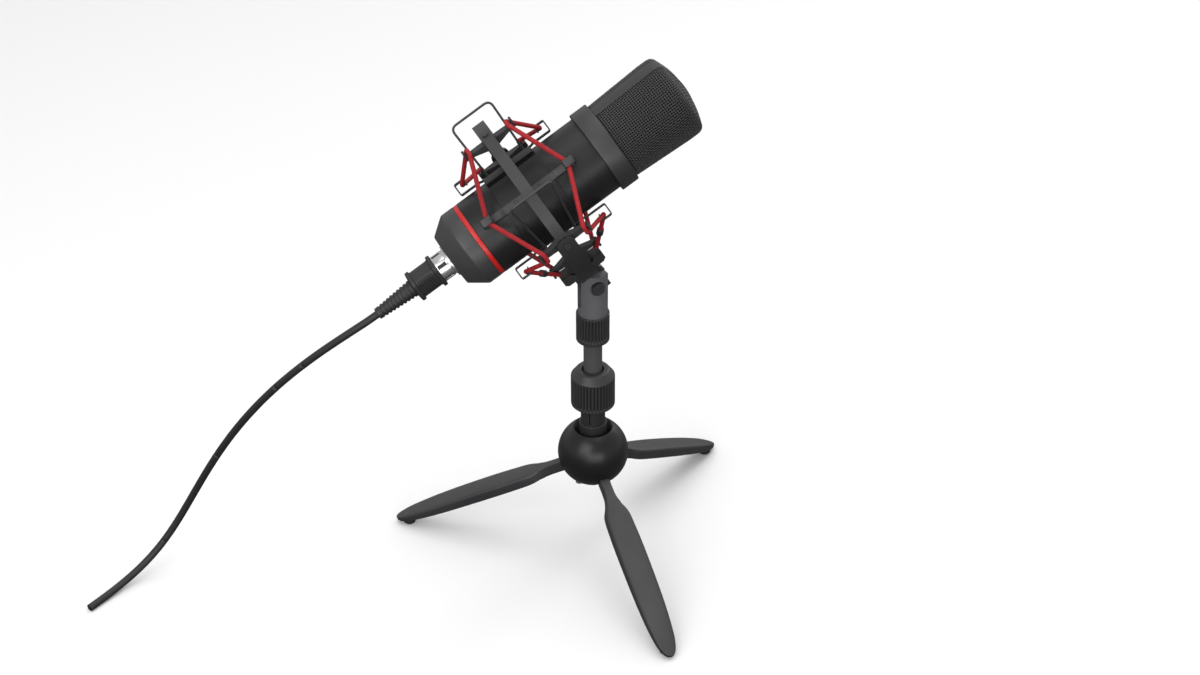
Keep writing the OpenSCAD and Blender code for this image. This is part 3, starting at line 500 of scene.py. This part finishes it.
for side, node in ((1, "grille_front"), (-1, "grille_rear")):
    wires = [skin(sweep(path, WIRE_R, 5)[0])[:2] for path in side_wires(side) + crown_wires(side)]
    add_piece("weave_" + node, joined(wires), "grille_mesh", node, "microphone")


STRAP_HALF, STRAP_THICK = 3.8, 1.6
HEAD_MID = 130


def head_strap():
    """The solid strap over the grille, with rounded edges."""
    half = [(p.x, p.y) for p in resample([Vector((p.x, p.y, 0)) for p in head_line()], 1.0)]
    line = [Vector(p) for p in half] + [Vector((-r, w)) for r, w in reversed(half[:-1])]
    section = soft_outline([
        (-STRAP_HALF, 0), (STRAP_HALF, 0), (STRAP_HALF, -STRAP_THICK), (-STRAP_HALF, -STRAP_THICK)
    ], 0.45, 3)
    rings = []
    for p, run in zip(line, directions(line)):
        out = Vector((run.y, -run.x))
        if out.dot(p - Vector((0, HEAD_MID))) <= 0:
            out = -out
        spots = [(p + out * depth, across) for across, depth in section]
        rings.append([from_bottom(q.x, across, q.y) for q, across in spots])
    return skin(rings)[:2]


base_ring = lathe(soft_outline([
    (21.4, 105.1), (HEAD_BASE_R, 105.1), (HEAD_BASE_R, 110.9, 0.2), (21.4, 110.9, 0.2)
], 0.1), 160, from_bottom)
add_piece("head_strap", joined([head_strap(), base_ring]), "dark_metal", "head_frame", "microphone",
          sharp=50)

# ---------- elastic cords ----------

CORD_R = 1.3
CORD_ARM = (50.9, 13.1)          # radius and height of the cord on an arm
CORD_HOOK = (30.2, 26.6)         # and under a hook
ARM_SPREAD, HOOK_SPREAD = 2.6, 1.5
CORD_STEP = 0.45                 # distance between sections
CORD_SIDES = 20
STRANDS, TWIST = 6, 4.6          # strands round the cord, and their turn per millimetre
CRIMP_LEN, CRIMP_R = 5.5, 1.98


def cord_material():
    """Braided elastic: strands that cross in two directions, from coordinates along the cord; the weave's
    low spots are painted a darker red as painted shade.
    """
    mat, nodes, links, bsdf = shader("braided_cord")
    uv = nodes.new("ShaderNodeUVMap")
    uv.uv_map = "along"
    split = nodes.new("ShaderNodeSeparateXYZ")
    links.new(uv.outputs["UV"], split.inputs[0])
    turn = maths(nodes, links, "MULTIPLY", split.outputs["X"], 2 * math.pi * STRANDS)
    run = maths(nodes, links, "MULTIPLY", split.outputs["Y"], TWIST)
    strands = [maths(nodes, links, "SINE", maths(nodes, links, way, turn, run))
               for way in ("ADD", "SUBTRACT")]
    weave = maths(nodes, links, "MULTIPLY", *strands)
    coords = nodes.new("ShaderNodeTexCoord").outputs["Object"]
    drift = remap(nodes, links, noise(nodes, links, coords, 60), -0.12, 0.12)
    # painted shade: the weave's low spots take the darker, shaded red and its high spots the lit red
    tone = maths(nodes, links, "ADD", remap(nodes, links, weave, 0.1, 0.75, -1, 1), drift)
    red = mix_colours(nodes, links, tone, (0.20, 0.002, 0.005), (0.52, 0.006, 0.014))
    links.new(red, bsdf.inputs["Base Color"])
    fuzz = noise(nodes, links, coords, 3000, 2.0)
    links.new(remap(nodes, links, fuzz, 0.55, 0.8), bsdf.inputs["Roughness"])
    bsdf.inputs["Sheen Weight"].default_value = 0.15
    bsdf.inputs["Sheen Tint"].default_value = (1, 0.15, 0.15, 1)
    rough_skin(nodes, links, bsdf, weave, 0.6, 0.1)
    return mat


def cord_corners(end):
    """The corner points of one closed cord: three on each arm, then three under the next hook."""
    out = []
    for quarter in range(4):
        for turn, (r, z), spread, bulge in ((0, CORD_ARM, ARM_SPREAD, 0.25),
                                            (45, CORD_HOOK, HOOK_SPREAD, -0.2)):
            for across, extra in ((-spread, 0), (0, bulge), (spread, 0)):
                x, y = turned(r + extra, across, math.radians(90 * quarter + turn))
                out.append(Vector((x, y, end * z)))
    return out


def cord_samples(corners):
    """Points round a closed cord, softened at the corners, and the index of each corner."""
    points, first = [], {}
    count = len(corners)
    for i in range(count):
        a, b = corners[i], corners[(i + 1) % count]
        steps = max(2, int((b - a).length / CORD_STEP))
        first[i] = len(points)
        points += [a.lerp(b, k / steps) for k in range(steps)]
    n = len(points)
    first[count] = n
    soft = [sum((points[(i + d) % n] for d in (-2, -1, 0, 1, 2)), Vector()) / 5 for i in range(n)]
    return soft, first


def cord_rings(soft):
    """Sections with a fine knitted surface, and the distance of each along the cord."""
    path = [at_mic(*p) for p in soft]
    n, dist = len(path), 0.0
    rings, along = [], []
    for i in range(n):
        run = (path[(i + 1) % n] - path[i - 1]).normalized()
        out = (path[i] - at_mic(0, 0, soft[i].z)).normalized()
        u = (out - run * out.dot(run)).normalized()
        v = run.cross(u)
        if i:
            dist += (path[i] - path[i - 1]).length
        ring = []
        for k in range(CORD_SIDES):
            a = 2 * math.pi * k / CORD_SIDES
            knit = math.sin(STRANDS * a + TWIST * dist) * math.sin(STRANDS * a - TWIST * dist)
            r = CORD_R * (1 + 0.035 * knit)
            ring.append(path[i] + (u * math.cos(a) + v * math.sin(a)) * r)
        rings.append(ring)
        along.append(dist)
    return path + path[:1], rings + rings[:1], along + [dist + CORD_STEP]


def cord_stretches(first, k):
    """Quarter k of a cord: for each piece a tag, its ends, its two bodies and where its blend runs."""
    arm_mid, arm_end, hook_a, hook_mid, hook_b, arm_next = (first[6 * k + j] for j in range(1, 7))
    mid_a, mid_b = (arm_end + hook_a) // 2, (hook_b + arm_next) // 2
    jaw = "jaw_near" if k < 2 else "jaw_far"
    last = first[6 * k + 7] if k < 3 else None
    return [
        ("a", arm_mid, mid_a, "yoke", "microphone", arm_end, mid_a),
        ("b", mid_a, hook_mid, "microphone", jaw, mid_a, hook_a),
        ("c", hook_mid, mid_b, "microphone", jaw, mid_b, hook_b),
        ("d", mid_b, last, "yoke", "microphone", arm_next, mid_b),
    ]


def make_cord(end, label, coat):
    """One cord in 16 pieces; the bodies each piece touches are listed but not used."""
    soft, first = cord_samples(cord_corners(end))
    path, rings, along = cord_rings(soft)
    wrap = range(1, first[1] + 1)
    for k in range(4):
        for tag, low, high, a, b, start, stop in cord_stretches(first, k):
            if high is None:
                part = rings[low:] + [rings[i] for i in wrap]
                dists = along[low:] + [along[-1] + along[i] for i in wrap]
            else:
                part, dists = rings[low:high + 1], along[low:high + 1]
            *shape, uvs = skin(part, dists)
            piece = add_piece(f"cord_{label}_{k}{tag}", shape, "cord_red", "cord_" + label,
                              coat=coat, uvs=uvs)
            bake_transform(piece)


def make_crimp(end, label):
    """A ribbed sleeve over the joint of a cord, between the last hook and the lowest arm."""
    corners = cord_corners(end)
    a, b = at_mic(*corners[11]), at_mic(*corners[12])
    mid, run = (a + b) / 2, (b - a).normalized()

    def radius(d):
        edge = min(d, CRIMP_LEN - d)
        return CRIMP_R - 0.35 * max(0, 1 - edge / 0.5) ** 2 + 0.06 * math.sin(d * 5.5)

    path = [mid + run * (CRIMP_LEN * i / 22) for i in range(-11, 12)]
    shape = skin(sweep(path, radius, 20)[0])[:2]
    piece = add_piece("crimp_" + label, shape, "black_plastic", "cord_crimps")
    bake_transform(piece)


cord_coat = cord_material()
for end, label in ((-1, "lower"), (1, "upper")):
    make_cord(end, label, cord_coat)
    make_crimp(end, label)

# ---------- hook strips ----------

# Half of a strip's side view, (r, z): flat on the clamp, out, back along and in again.
STRIP_SIDE = [(24.92, 16.5), (25.5, 18.5), (25.5, 30.5), (32.4, 30.5), (32.4, 24.5), (28.6, 24.5)]
STRIP_HALF_W, STRIP_HALF_T = 2.2, 0.38
RIVET_DOME = [(0.0, 1.15), (0.12, 1.12), (0.24, 0.95), (0.34, 0.6), (0.38, 0.05)]
RIVET_SEAT, RIVET_Z = 25.2, 8


def bent_strip(a):
    """A flat spring strip whose ends are bent into hooks, at an angle round the microphone."""
    half = [Vector((r, z, 0)) for r, z in STRIP_SIDE]
    corners = [Vector((p.x, -p.y, 0)) for p in reversed(half)] + half
    line = fillet(corners, [0.9] * (len(corners) - 2), 4)
    w, t = STRIP_HALF_W, STRIP_HALF_T
    section = soft_outline([(-w, -t), (w, -t), (w, t), (-w, t)], 0.15, 2)
    rings = []
    for p, run in zip(line, directions(line)):
        square = Vector((run.y, -run.x, 0))
        spots = [(p + square * depth, across) for across, depth in section]
        rings.append([at_mic(*turned(q.x, across, a), q.y) for q, across in spots])
    return skin(rings)[:2]


def rivet_head(a, z):
    """A low domed head on a strip."""
    out = at_mic(*turned(1, 0, a), 0) - at_mic(0, 0, 0)
    base = at_mic(*turned(RIVET_SEAT, 0, a), z)
    side = out.orthogonal().normalized()
    other = out.cross(side)
    angles = [math.pi * k / 8 for k in range(16)]
    return skin([[base + out * h + (side * math.cos(b) + other * math.sin(b)) * r for b in angles]
                 for h, r in RIVET_DOME])[:2]


for node, body, places in (("hook_strips_near", "jaw_near", (45, 135)),
                           ("hook_strips_far", "jaw_far", (225, 315))):
    parts = []
    for a in map(math.radians, places):
        parts += [bent_strip(a), rivet_head(a, -RIVET_Z), rivet_head(a, RIVET_Z)]
    add_piece("bent_" + node, joined(parts), "dark_metal", node, body, sharp=50)

# ---------- wire handles ----------

WIRE_BEND, LOOP_BEND = 1.6, 4.0
HANDLE_SEAT = 26.1
HANDLE_LEG = [
    (HANDLE_SEAT, 212, -3), (HANDLE_SEAT, 212, 3), (29.3, 195, 0), (31.5, 188, 0), (31.9, 180, 0),
    (31.4, 168, 0), (30.6, 150, 0), (30.2, 130, 0), (30.2, 112, 0)
]                                # radius, angle and offset along the jaw
HANDLE_LOOP = (61.6, 52, 13.4)   # radius, angle and half width of the outer end


def make_handle(side, half_width, node, body):
    """A wire bent into a loop, from one seat on the jaw to the other. side is 1 for near."""
    half = [Vector((*turned(r, -off, math.radians(angle)), half_width)) for r, angle, off in HANDLE_LEG]
    r, angle, z = HANDLE_LOOP
    half.append(Vector((*turned(r, 0, math.radians(angle)), z)))
    both = half + [Vector((p.x, p.y, -p.z)) for p in reversed(half)]
    raw = [at_mic(p.x, side * p.y, p.z) for p in both]
    middle = len(half)
    cuts = [LOOP_BEND if i in (middle - 1, middle) else WIRE_BEND for i in range(1, len(raw) - 1)]
    shape = skin(sweep(fillet(raw, cuts, 8), 0.7, 12)[0])[:2]
    add_piece("wire_" + node, shape, "dark_metal", node, body)


make_handle(1, 9.8, "handle_near", "jaw_far")
make_handle(-1, 12, "handle_far", "jaw_near")

# ---------- cable ----------

CABLE_R = 2.18
CABLE_LAY = DESK_Z + 2.2
# Shares of the cable's length where one stretch ends and the next begins.
CABLE_CUTS = [0, 0.26, 0.34, 0.56, 0.8, 1.0]


def bezier(points, u):
    while len(points) > 1:
        points = [a.lerp(b, u) for a, b in zip(points, points[1:])]
    return points[0]


def make_cable():
    """The cable from inside the plug down to the desk, in several stretches."""
    curve = [
        from_bottom(0, 0, -51.5), from_bottom(0, 0, -86.5), Vector((-227, 46, DESK_Z + 123)),
        Vector((-226, 70, DESK_Z + 37)), Vector((-235, 85, CABLE_LAY)), Vector((-300.7, 44.2, CABLE_LAY))
    ]
    in_plug = [from_bottom(0, 0, -22), from_bottom(0, 0, -40)]
    path = in_plug + [bezier(curve, i / 150) for i in range(151)]
    rings, along = sweep(path, CABLE_R, 24)
    marks = [min(range(len(along)), key=lambda i: abs(along[i] - cut * along[-1]))
             for cut in CABLE_CUTS]
    for k, (low, high) in enumerate(zip(marks, marks[1:])):
        *shape, uvs = skin(rings[low:high + 1], along[low:high + 1])
        piece = add_piece(f"cable_{k}", shape, "cable_rubber", "cable", uvs=uvs)
        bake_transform(piece)


make_cable()

# ---------- plug ----------

RELIEF_TOP, RELIEF_LEN, RELIEF_R = -26.05, 24.5, 5.15
RELIEF_BORE, RELIEF_RIBS = 2.25, 9
GRIP_HALF = 6.6                  # half width of the plug's body between its flanges
BARREL_R, BARREL_BORE = 7.95, 7.06
SLOT_W, SLOT_HALF = (-8.1, -2.8), 1.1


def relief_outline():
    """A taper with shallow cross ribs."""
    pitch = (RELIEF_LEN - 3) / RELIEF_RIBS
    outline = [(RELIEF_BORE, RELIEF_TOP), (RELIEF_R, RELIEF_TOP, 0.2)]
    for i in range(RELIEF_RIBS):
        high = RELIEF_TOP - 1 - pitch * (i + 0.2)
        low = RELIEF_TOP - 1 - pitch * (i + 0.62)
        r = RELIEF_R - 1.75 * (RELIEF_TOP - high) / RELIEF_LEN
        outline += [(r, high, 0.12), (r - 0.55, high - 0.15, 0.12),
                    (r - 0.6, low, 0.12), (r - 0.1, low - 0.15, 0.12)]
    return outline + [(3.3, RELIEF_TOP - RELIEF_LEN, 0.3), (RELIEF_BORE, RELIEF_TOP - RELIEF_LEN)]


def squircle(power, count):
    """Points of a rounded square that reaches 1 each way."""
    out = []
    for k in range(count):
        x, y = turned(1, 0, 2 * math.pi * k / count)
        r = (abs(x) ** power + abs(y) ** power) ** (-1 / power)
        out.append((r * x, r * y))
    return out


def make_plug_body():
    """A rounded square body between two flanges, with grip ribs on its near and far faces."""
    stations = [(-8.85, 7.6), (-9.0, 8.0), (-10.9, 8.0), (-11.1, 7.7), (-11.3, 6.8), (-12.2, GRIP_HALF)]
    for i in range(6):
        w = -13 - 1.6 * i
        groove = GRIP_HALF - 0.35
        stations += [(w, GRIP_HALF), (w - 0.15, groove), (w - 0.75, groove), (w - 0.9, GRIP_HALF)]
    stations += [(-23.0, GRIP_HALF), (-23.2, 7.3), (-23.4, 7.6), (-25.2, 7.6), (-25.5, 7.3)]
    stations += [(-25.95, 5.6), (-26, 2.6)]
    rings = []
    for w, half in stations:
        ribbed = -22.6 < w < -12.5
        sized = [(x, y, GRIP_HALF if ribbed and abs(y) <= 0.93 else half) for x, y in squircle(5, 72)]
        rings.append([from_bottom(x * size, y * size, w) for x, y, size in sized])
    add_piece("plug_grip", skin(rings)[:2], "black_plastic", "plug_body", "plug", sharp=40)


def slot_cutter(a):
    """A box that cuts one slot through the barrel's wall."""
    points = [from_bottom(*turned(r, across, a), w)
              for w in SLOT_W for across in (-SLOT_HALF, SLOT_HALF) for r in (6.2, 9.2)]
    faces = [(0, 2, 3, 1), (4, 5, 7, 6), (0, 1, 5, 4), (2, 6, 7, 3), (0, 4, 6, 2), (1, 3, 7, 5)]
    return new_object("cutter", points, faces)


def make_barrel():
    """The bright barrel with slots that show the dark insert."""
    outline = soft_outline([
        (BARREL_BORE, -8.8), (BARREL_R, -8.8, 0.25), (BARREL_R, -2.2, 0.1), (BARREL_R - 0.25, -2.1, 0.1),
        (BARREL_R - 0.25, -1.5, 0.1), (BARREL_R, -1.4, 0.1), (BARREL_R, 7.5, 0.2), (BARREL_BORE, 7.5)
    ], 0.05)
    tools = [slot_cutter(math.radians(angle)) for angle in range(-9, 351, 60)]
    add_piece("barrel_slotted", lathe(outline, 128, from_bottom), "bright_metal", "plug_barrel",
              "plug", tools=tools, sharp=40)


make_plug_body()
turned_part("relief_sleeve", "strain_relief", "black_plastic", "plug", relief_outline(), 0.1, 64,
            sharp=50, steps=3)
make_barrel()

# ---------- stand ----------

NUT_R, NUT_BASE, NUT_TOP = 9.75, 99.3, 117.8
LOCK_R, LOCK_BASE, LOCK_TOP = 13, 54.3, 78.6


def rounded_flutes(count, r, depth, z_low, z_high):
    """A wave that cuts rounded grooves into a turned part between two heights."""
    def wave(q, z, a):
        if q < r - 0.6 or z < z_low - 1.2 or z > z_high + 1.2:
            return q
        fade = min(1, max(0, (z - z_low + 1.2) / 1.2)) * min(1, max(0, (z_high + 1.2 - z) / 1.2))
        return q - depth * fade * max(0.0, math.cos(count * a)) ** 0.6
    return wave


def ladder(r, z0, z1, steps):
    """Extra points up a straight side, so that a wave has something to move."""
    return [(r, z0 + (z1 - z0) * i / steps, 0.01) for i in range(steps + 1)]


turned_part("swivel_grip", "swivel_nut", "dark_metal", "swivel_nut", [
    (5.55, NUT_BASE), (NUT_R, NUT_BASE, 0.6), *ladder(NUT_R, NUT_BASE + 1.9, NUT_TOP - 1, 12),
    (NUT_R, NUT_TOP, 0.4), (8.8, NUT_TOP, 0.2), (8.8, 112.6), (7.8, 112.6), (7.8, 102.8),
    (5.55, 102.8)
], 0.1, 320, upright, rounded_flutes(32, NUT_R, 0.95, 102.6, 116.0), 60)

turned_part("lock_grip", "lock_collar", "dark_metal", "lock_collar", [
    (7.7, LOCK_BASE), (LOCK_R - 0.1, LOCK_BASE, 0.9), *ladder(LOCK_R, LOCK_BASE + 1.3, 73.2, 14),
    (LOCK_R, 74.0, 0.5), (9.5, LOCK_TOP, 1.1), (6.4, LOCK_TOP, 0.5), (6.4, 76.5), (7.7, 70.5)
], 0.1, 320, upright, rounded_flutes(40, LOCK_R, 1.2, 56.4, 72.4), 60)

# ---------- legs ----------

LEG_SLOPE, HINGE_R, HINGE_H = math.radians(26.5), 14.0, 9.8
PIN_HOLE_R = 1.3
PAD_REACH, PAD_HOLE_R, PAD_HOLE_LEN = 114.5, 3.65, 10.5
# Half width, top and underside of the blade at distances from its hinge.
LEG_HALF = [(-3.2, 3), (14, 3), (19, 4.1), (26, 7.1), (34, 7.9), (56, 8.3), (90, 7.7), (110, 6.1),
            (117.5, 4.1), (120.4, 2.0), (121, 0.4)]
LEG_TOP = [(-3.2, 0.2), (-2.2, 2.3), (0, 3.2), (16, 3.2), (30, 3.6), (60, 3.7), (90, 3.2),
           (110, 2.2), (121, 0.9)]
LEG_LOW = [(-3.2, -0.2), (-2.2, -2.3), (0, -3.2), (60, -3.2), (100, -2.9), (118, -1.9), (121, -1.1)]
LEG_STATIONS = [-3.2, -3, -2.6, -2, -1, 0, *(i * 1.5 for i in range(1, 80)), 119.6, 120.2, 120.6, 120.9]


def spline(table, x):
    """A smooth value between the rows of a table of (x, value)."""
    for i in range(len(table) - 1):
        x0, x1 = table[i][0], table[i + 1][0]
        if x <= x1:
            y0, y1 = table[i][1], table[i + 1][1]
            before = table[max(i - 1, 0)]
            after = table[min(i + 2, len(table) - 1)]
            m0 = (y1 - before[1]) / (x1 - before[0]) * (x1 - x0)
            m1 = (after[1] - y0) / (after[0] - x0) * (x1 - x0)
            u = (x - x0) / (x1 - x0)
            return ((2 * u ** 3 - 3 * u ** 2 + 1) * y0 + (u ** 3 - 2 * u ** 2 + u) * m0
                    + (3 * u ** 2 - 2 * u ** 3) * y1 + (u ** 3 - u ** 2) * m1)
    return table[-1][1]


def leg_section(x):
    """The blade's section at x: a crowned top and a soft edge all round."""
    half = max(0.4, spline(LEG_HALF, x))
    top, low = spline(LEG_TOP, x), spline(LEG_LOW, x)
    crown = 0.55 * min(1, max(0, (half - 3) / 4))
    edge = min(1.7 if x > 20 else 0.6, half * 0.8, (top - low) * 0.42)
    shoulder = [half * 0.45, top - crown * 0.25, half * 0.4]
    return soft_outline([
        (-half, low, edge * 0.55), (half, low, edge * 0.55), (half, top - crown, edge),
        shoulder, [-shoulder[0], *shoulder[1:]], (-half, top - crown, edge)
    ], 0.3, 6)


def leg_blade(turn):
    """A blade that slopes from the hinge to the desk, with a blunt tip."""
    rings = []
    for x in LEG_STATIONS:
        ring = []
        for y, z in leg_section(x):
            run, drop = turned(x, z, -LEG_SLOPE)
            ring.append(Vector((*turned(HINGE_R + run, y, turn), HINGE_H + drop)))
        rings.append(ring)
    return skin(rings)[:2]


def round_cutter(centre, axis, radius, length):
    """A closed cylinder used only to cut a hole."""
    half = axis * length / 2
    rings, _ = sweep([centre - half, centre, centre + half], radius, 40)
    return new_object("cutter", *skin(rings)[:2])


for label, degrees in (("front", -90), ("right", 30), ("left", 150)):
    turn = math.radians(degrees)
    across = Vector((*turned(0, 1, turn), 0))
    hinge = Vector((*turned(HINGE_R, 0, turn), HINGE_H))
    pad = Vector((*turned(PAD_REACH, 0, turn), DESK_Z))
    holes = [round_cutter(hinge, across, PIN_HOLE_R, 20),
             round_cutter(pad, Vector((0, 0, 1)), PAD_HOLE_R, PAD_HOLE_LEN)]
    add_piece("blade_" + label, leg_blade(turn), "dark_metal", "leg_" + label, "leg_" + label,
              tools=holes, sharp=50)

# ---------- floor, light and camera ----------

def make_floor(size):
    half = size / 2
    corners = [(-half, -half, DESK_Z), (half, -half, DESK_Z), (half, half, DESK_Z), (-half, half, DESK_Z)]
    obj = new_object("floor", corners, [(0, 1, 2, 3)])
    mat, _, _, bsdf = shader("floor")
    bsdf.inputs["Base Color"].default_value = (0.86, 0.86, 0.86, 1)
    bsdf.inputs["Roughness"].default_value = 0.8
    obj.data.materials.append(mat)
    obj.visible_glossy = False
    obj.visible_diffuse = False


def studio_sky(tree):
    """White to the camera; for light, bright from level and above and dim from below."""
    nodes, links = tree.nodes, tree.links
    coords = nodes.new("ShaderNodeTexCoord")
    split = nodes.new("ShaderNodeSeparateXYZ")
    links.new(coords.outputs["Generated"], split.inputs[0])
    ramp = nodes.new("ShaderNodeValToRGB")
    stops = ((0.0, 0.1), (0.42, 0.22), (0.55, 0.75), (0.72, 0.62), (1.0, 0.5))
    for place, _ in stops[1:-1]:
        ramp.color_ramp.elements.new(place)
    for element, (place, value) in zip(ramp.color_ramp.elements, stops):
        element.position = place
        element.color = (value, value, value, 1)
    links.new(remap(nodes, links, split.outputs["Z"], 0, 1, -1, 1), ramp.inputs["Fac"])
    seen = nodes.new("ShaderNodeLightPath").outputs["Is Camera Ray"]
    links.new(mix_colours(nodes, links, seen, ramp.outputs["Color"], (1, 1, 1)),
              nodes["Background"].inputs["Color"])


def softbox(name, place, size, power):
    light = bpy.data.lights.new(name, "AREA")
    light.shape = "RECTANGLE"
    light.size, light.size_y = size
    light.energy = power
    obj = bpy.data.objects.new(name, light)
    obj.location = place
    obj.rotation_euler = (LIGHT_AIM - Vector(place)).to_track_quat("-Z", "Y").to_euler()
    bpy.context.collection.objects.link(obj)


def add_camera(target, azimuth, elevation, distance, lens):
    """A camera on a 36 mm sensor; azimuth 0 looks from the near side."""
    back = Vector((math.sin(azimuth) * math.cos(elevation), -math.cos(azimuth) * math.cos(elevation),
                   math.sin(elevation)))
    data = bpy.data.cameras.new("camera")
    data.lens = lens
    data.sensor_width = 36
    obj = bpy.data.objects.new("camera", data)
    obj.location = target + back * distance
    obj.rotation_euler = (-back).to_track_quat("-Z", "Y").to_euler()
    bpy.context.collection.objects.link(obj)
    bpy.context.scene.camera = obj


make_floor(30000)
world = bpy.data.worlds.new("studio")
bpy.context.scene.world = world
world.use_nodes = True
studio_sky(world.node_tree)
bpy.context.scene.view_settings.view_transform = "Standard"

LIGHT_AIM = Vector((0, 0, 0.1))
softbox("key", (-0.9, -0.75, 0.8), (0.9, 0.9), 7)
softbox("top", (0.1, 0.2, 1.7), (1.8, 1.8), 17)
softbox("rim", (0.9, 0.5, 0.7), (0.35, 0.8), 2)
softbox("front", (-0.3, -1.3, 0.25), (1.2, 0.5), 5)
add_camera(Vector((4.47, 0, 145.6 + DESK_Z)) * MM, math.radians(-21.6), math.radians(33.3), 1.451, 75)

bpy.context.view_layer.update()
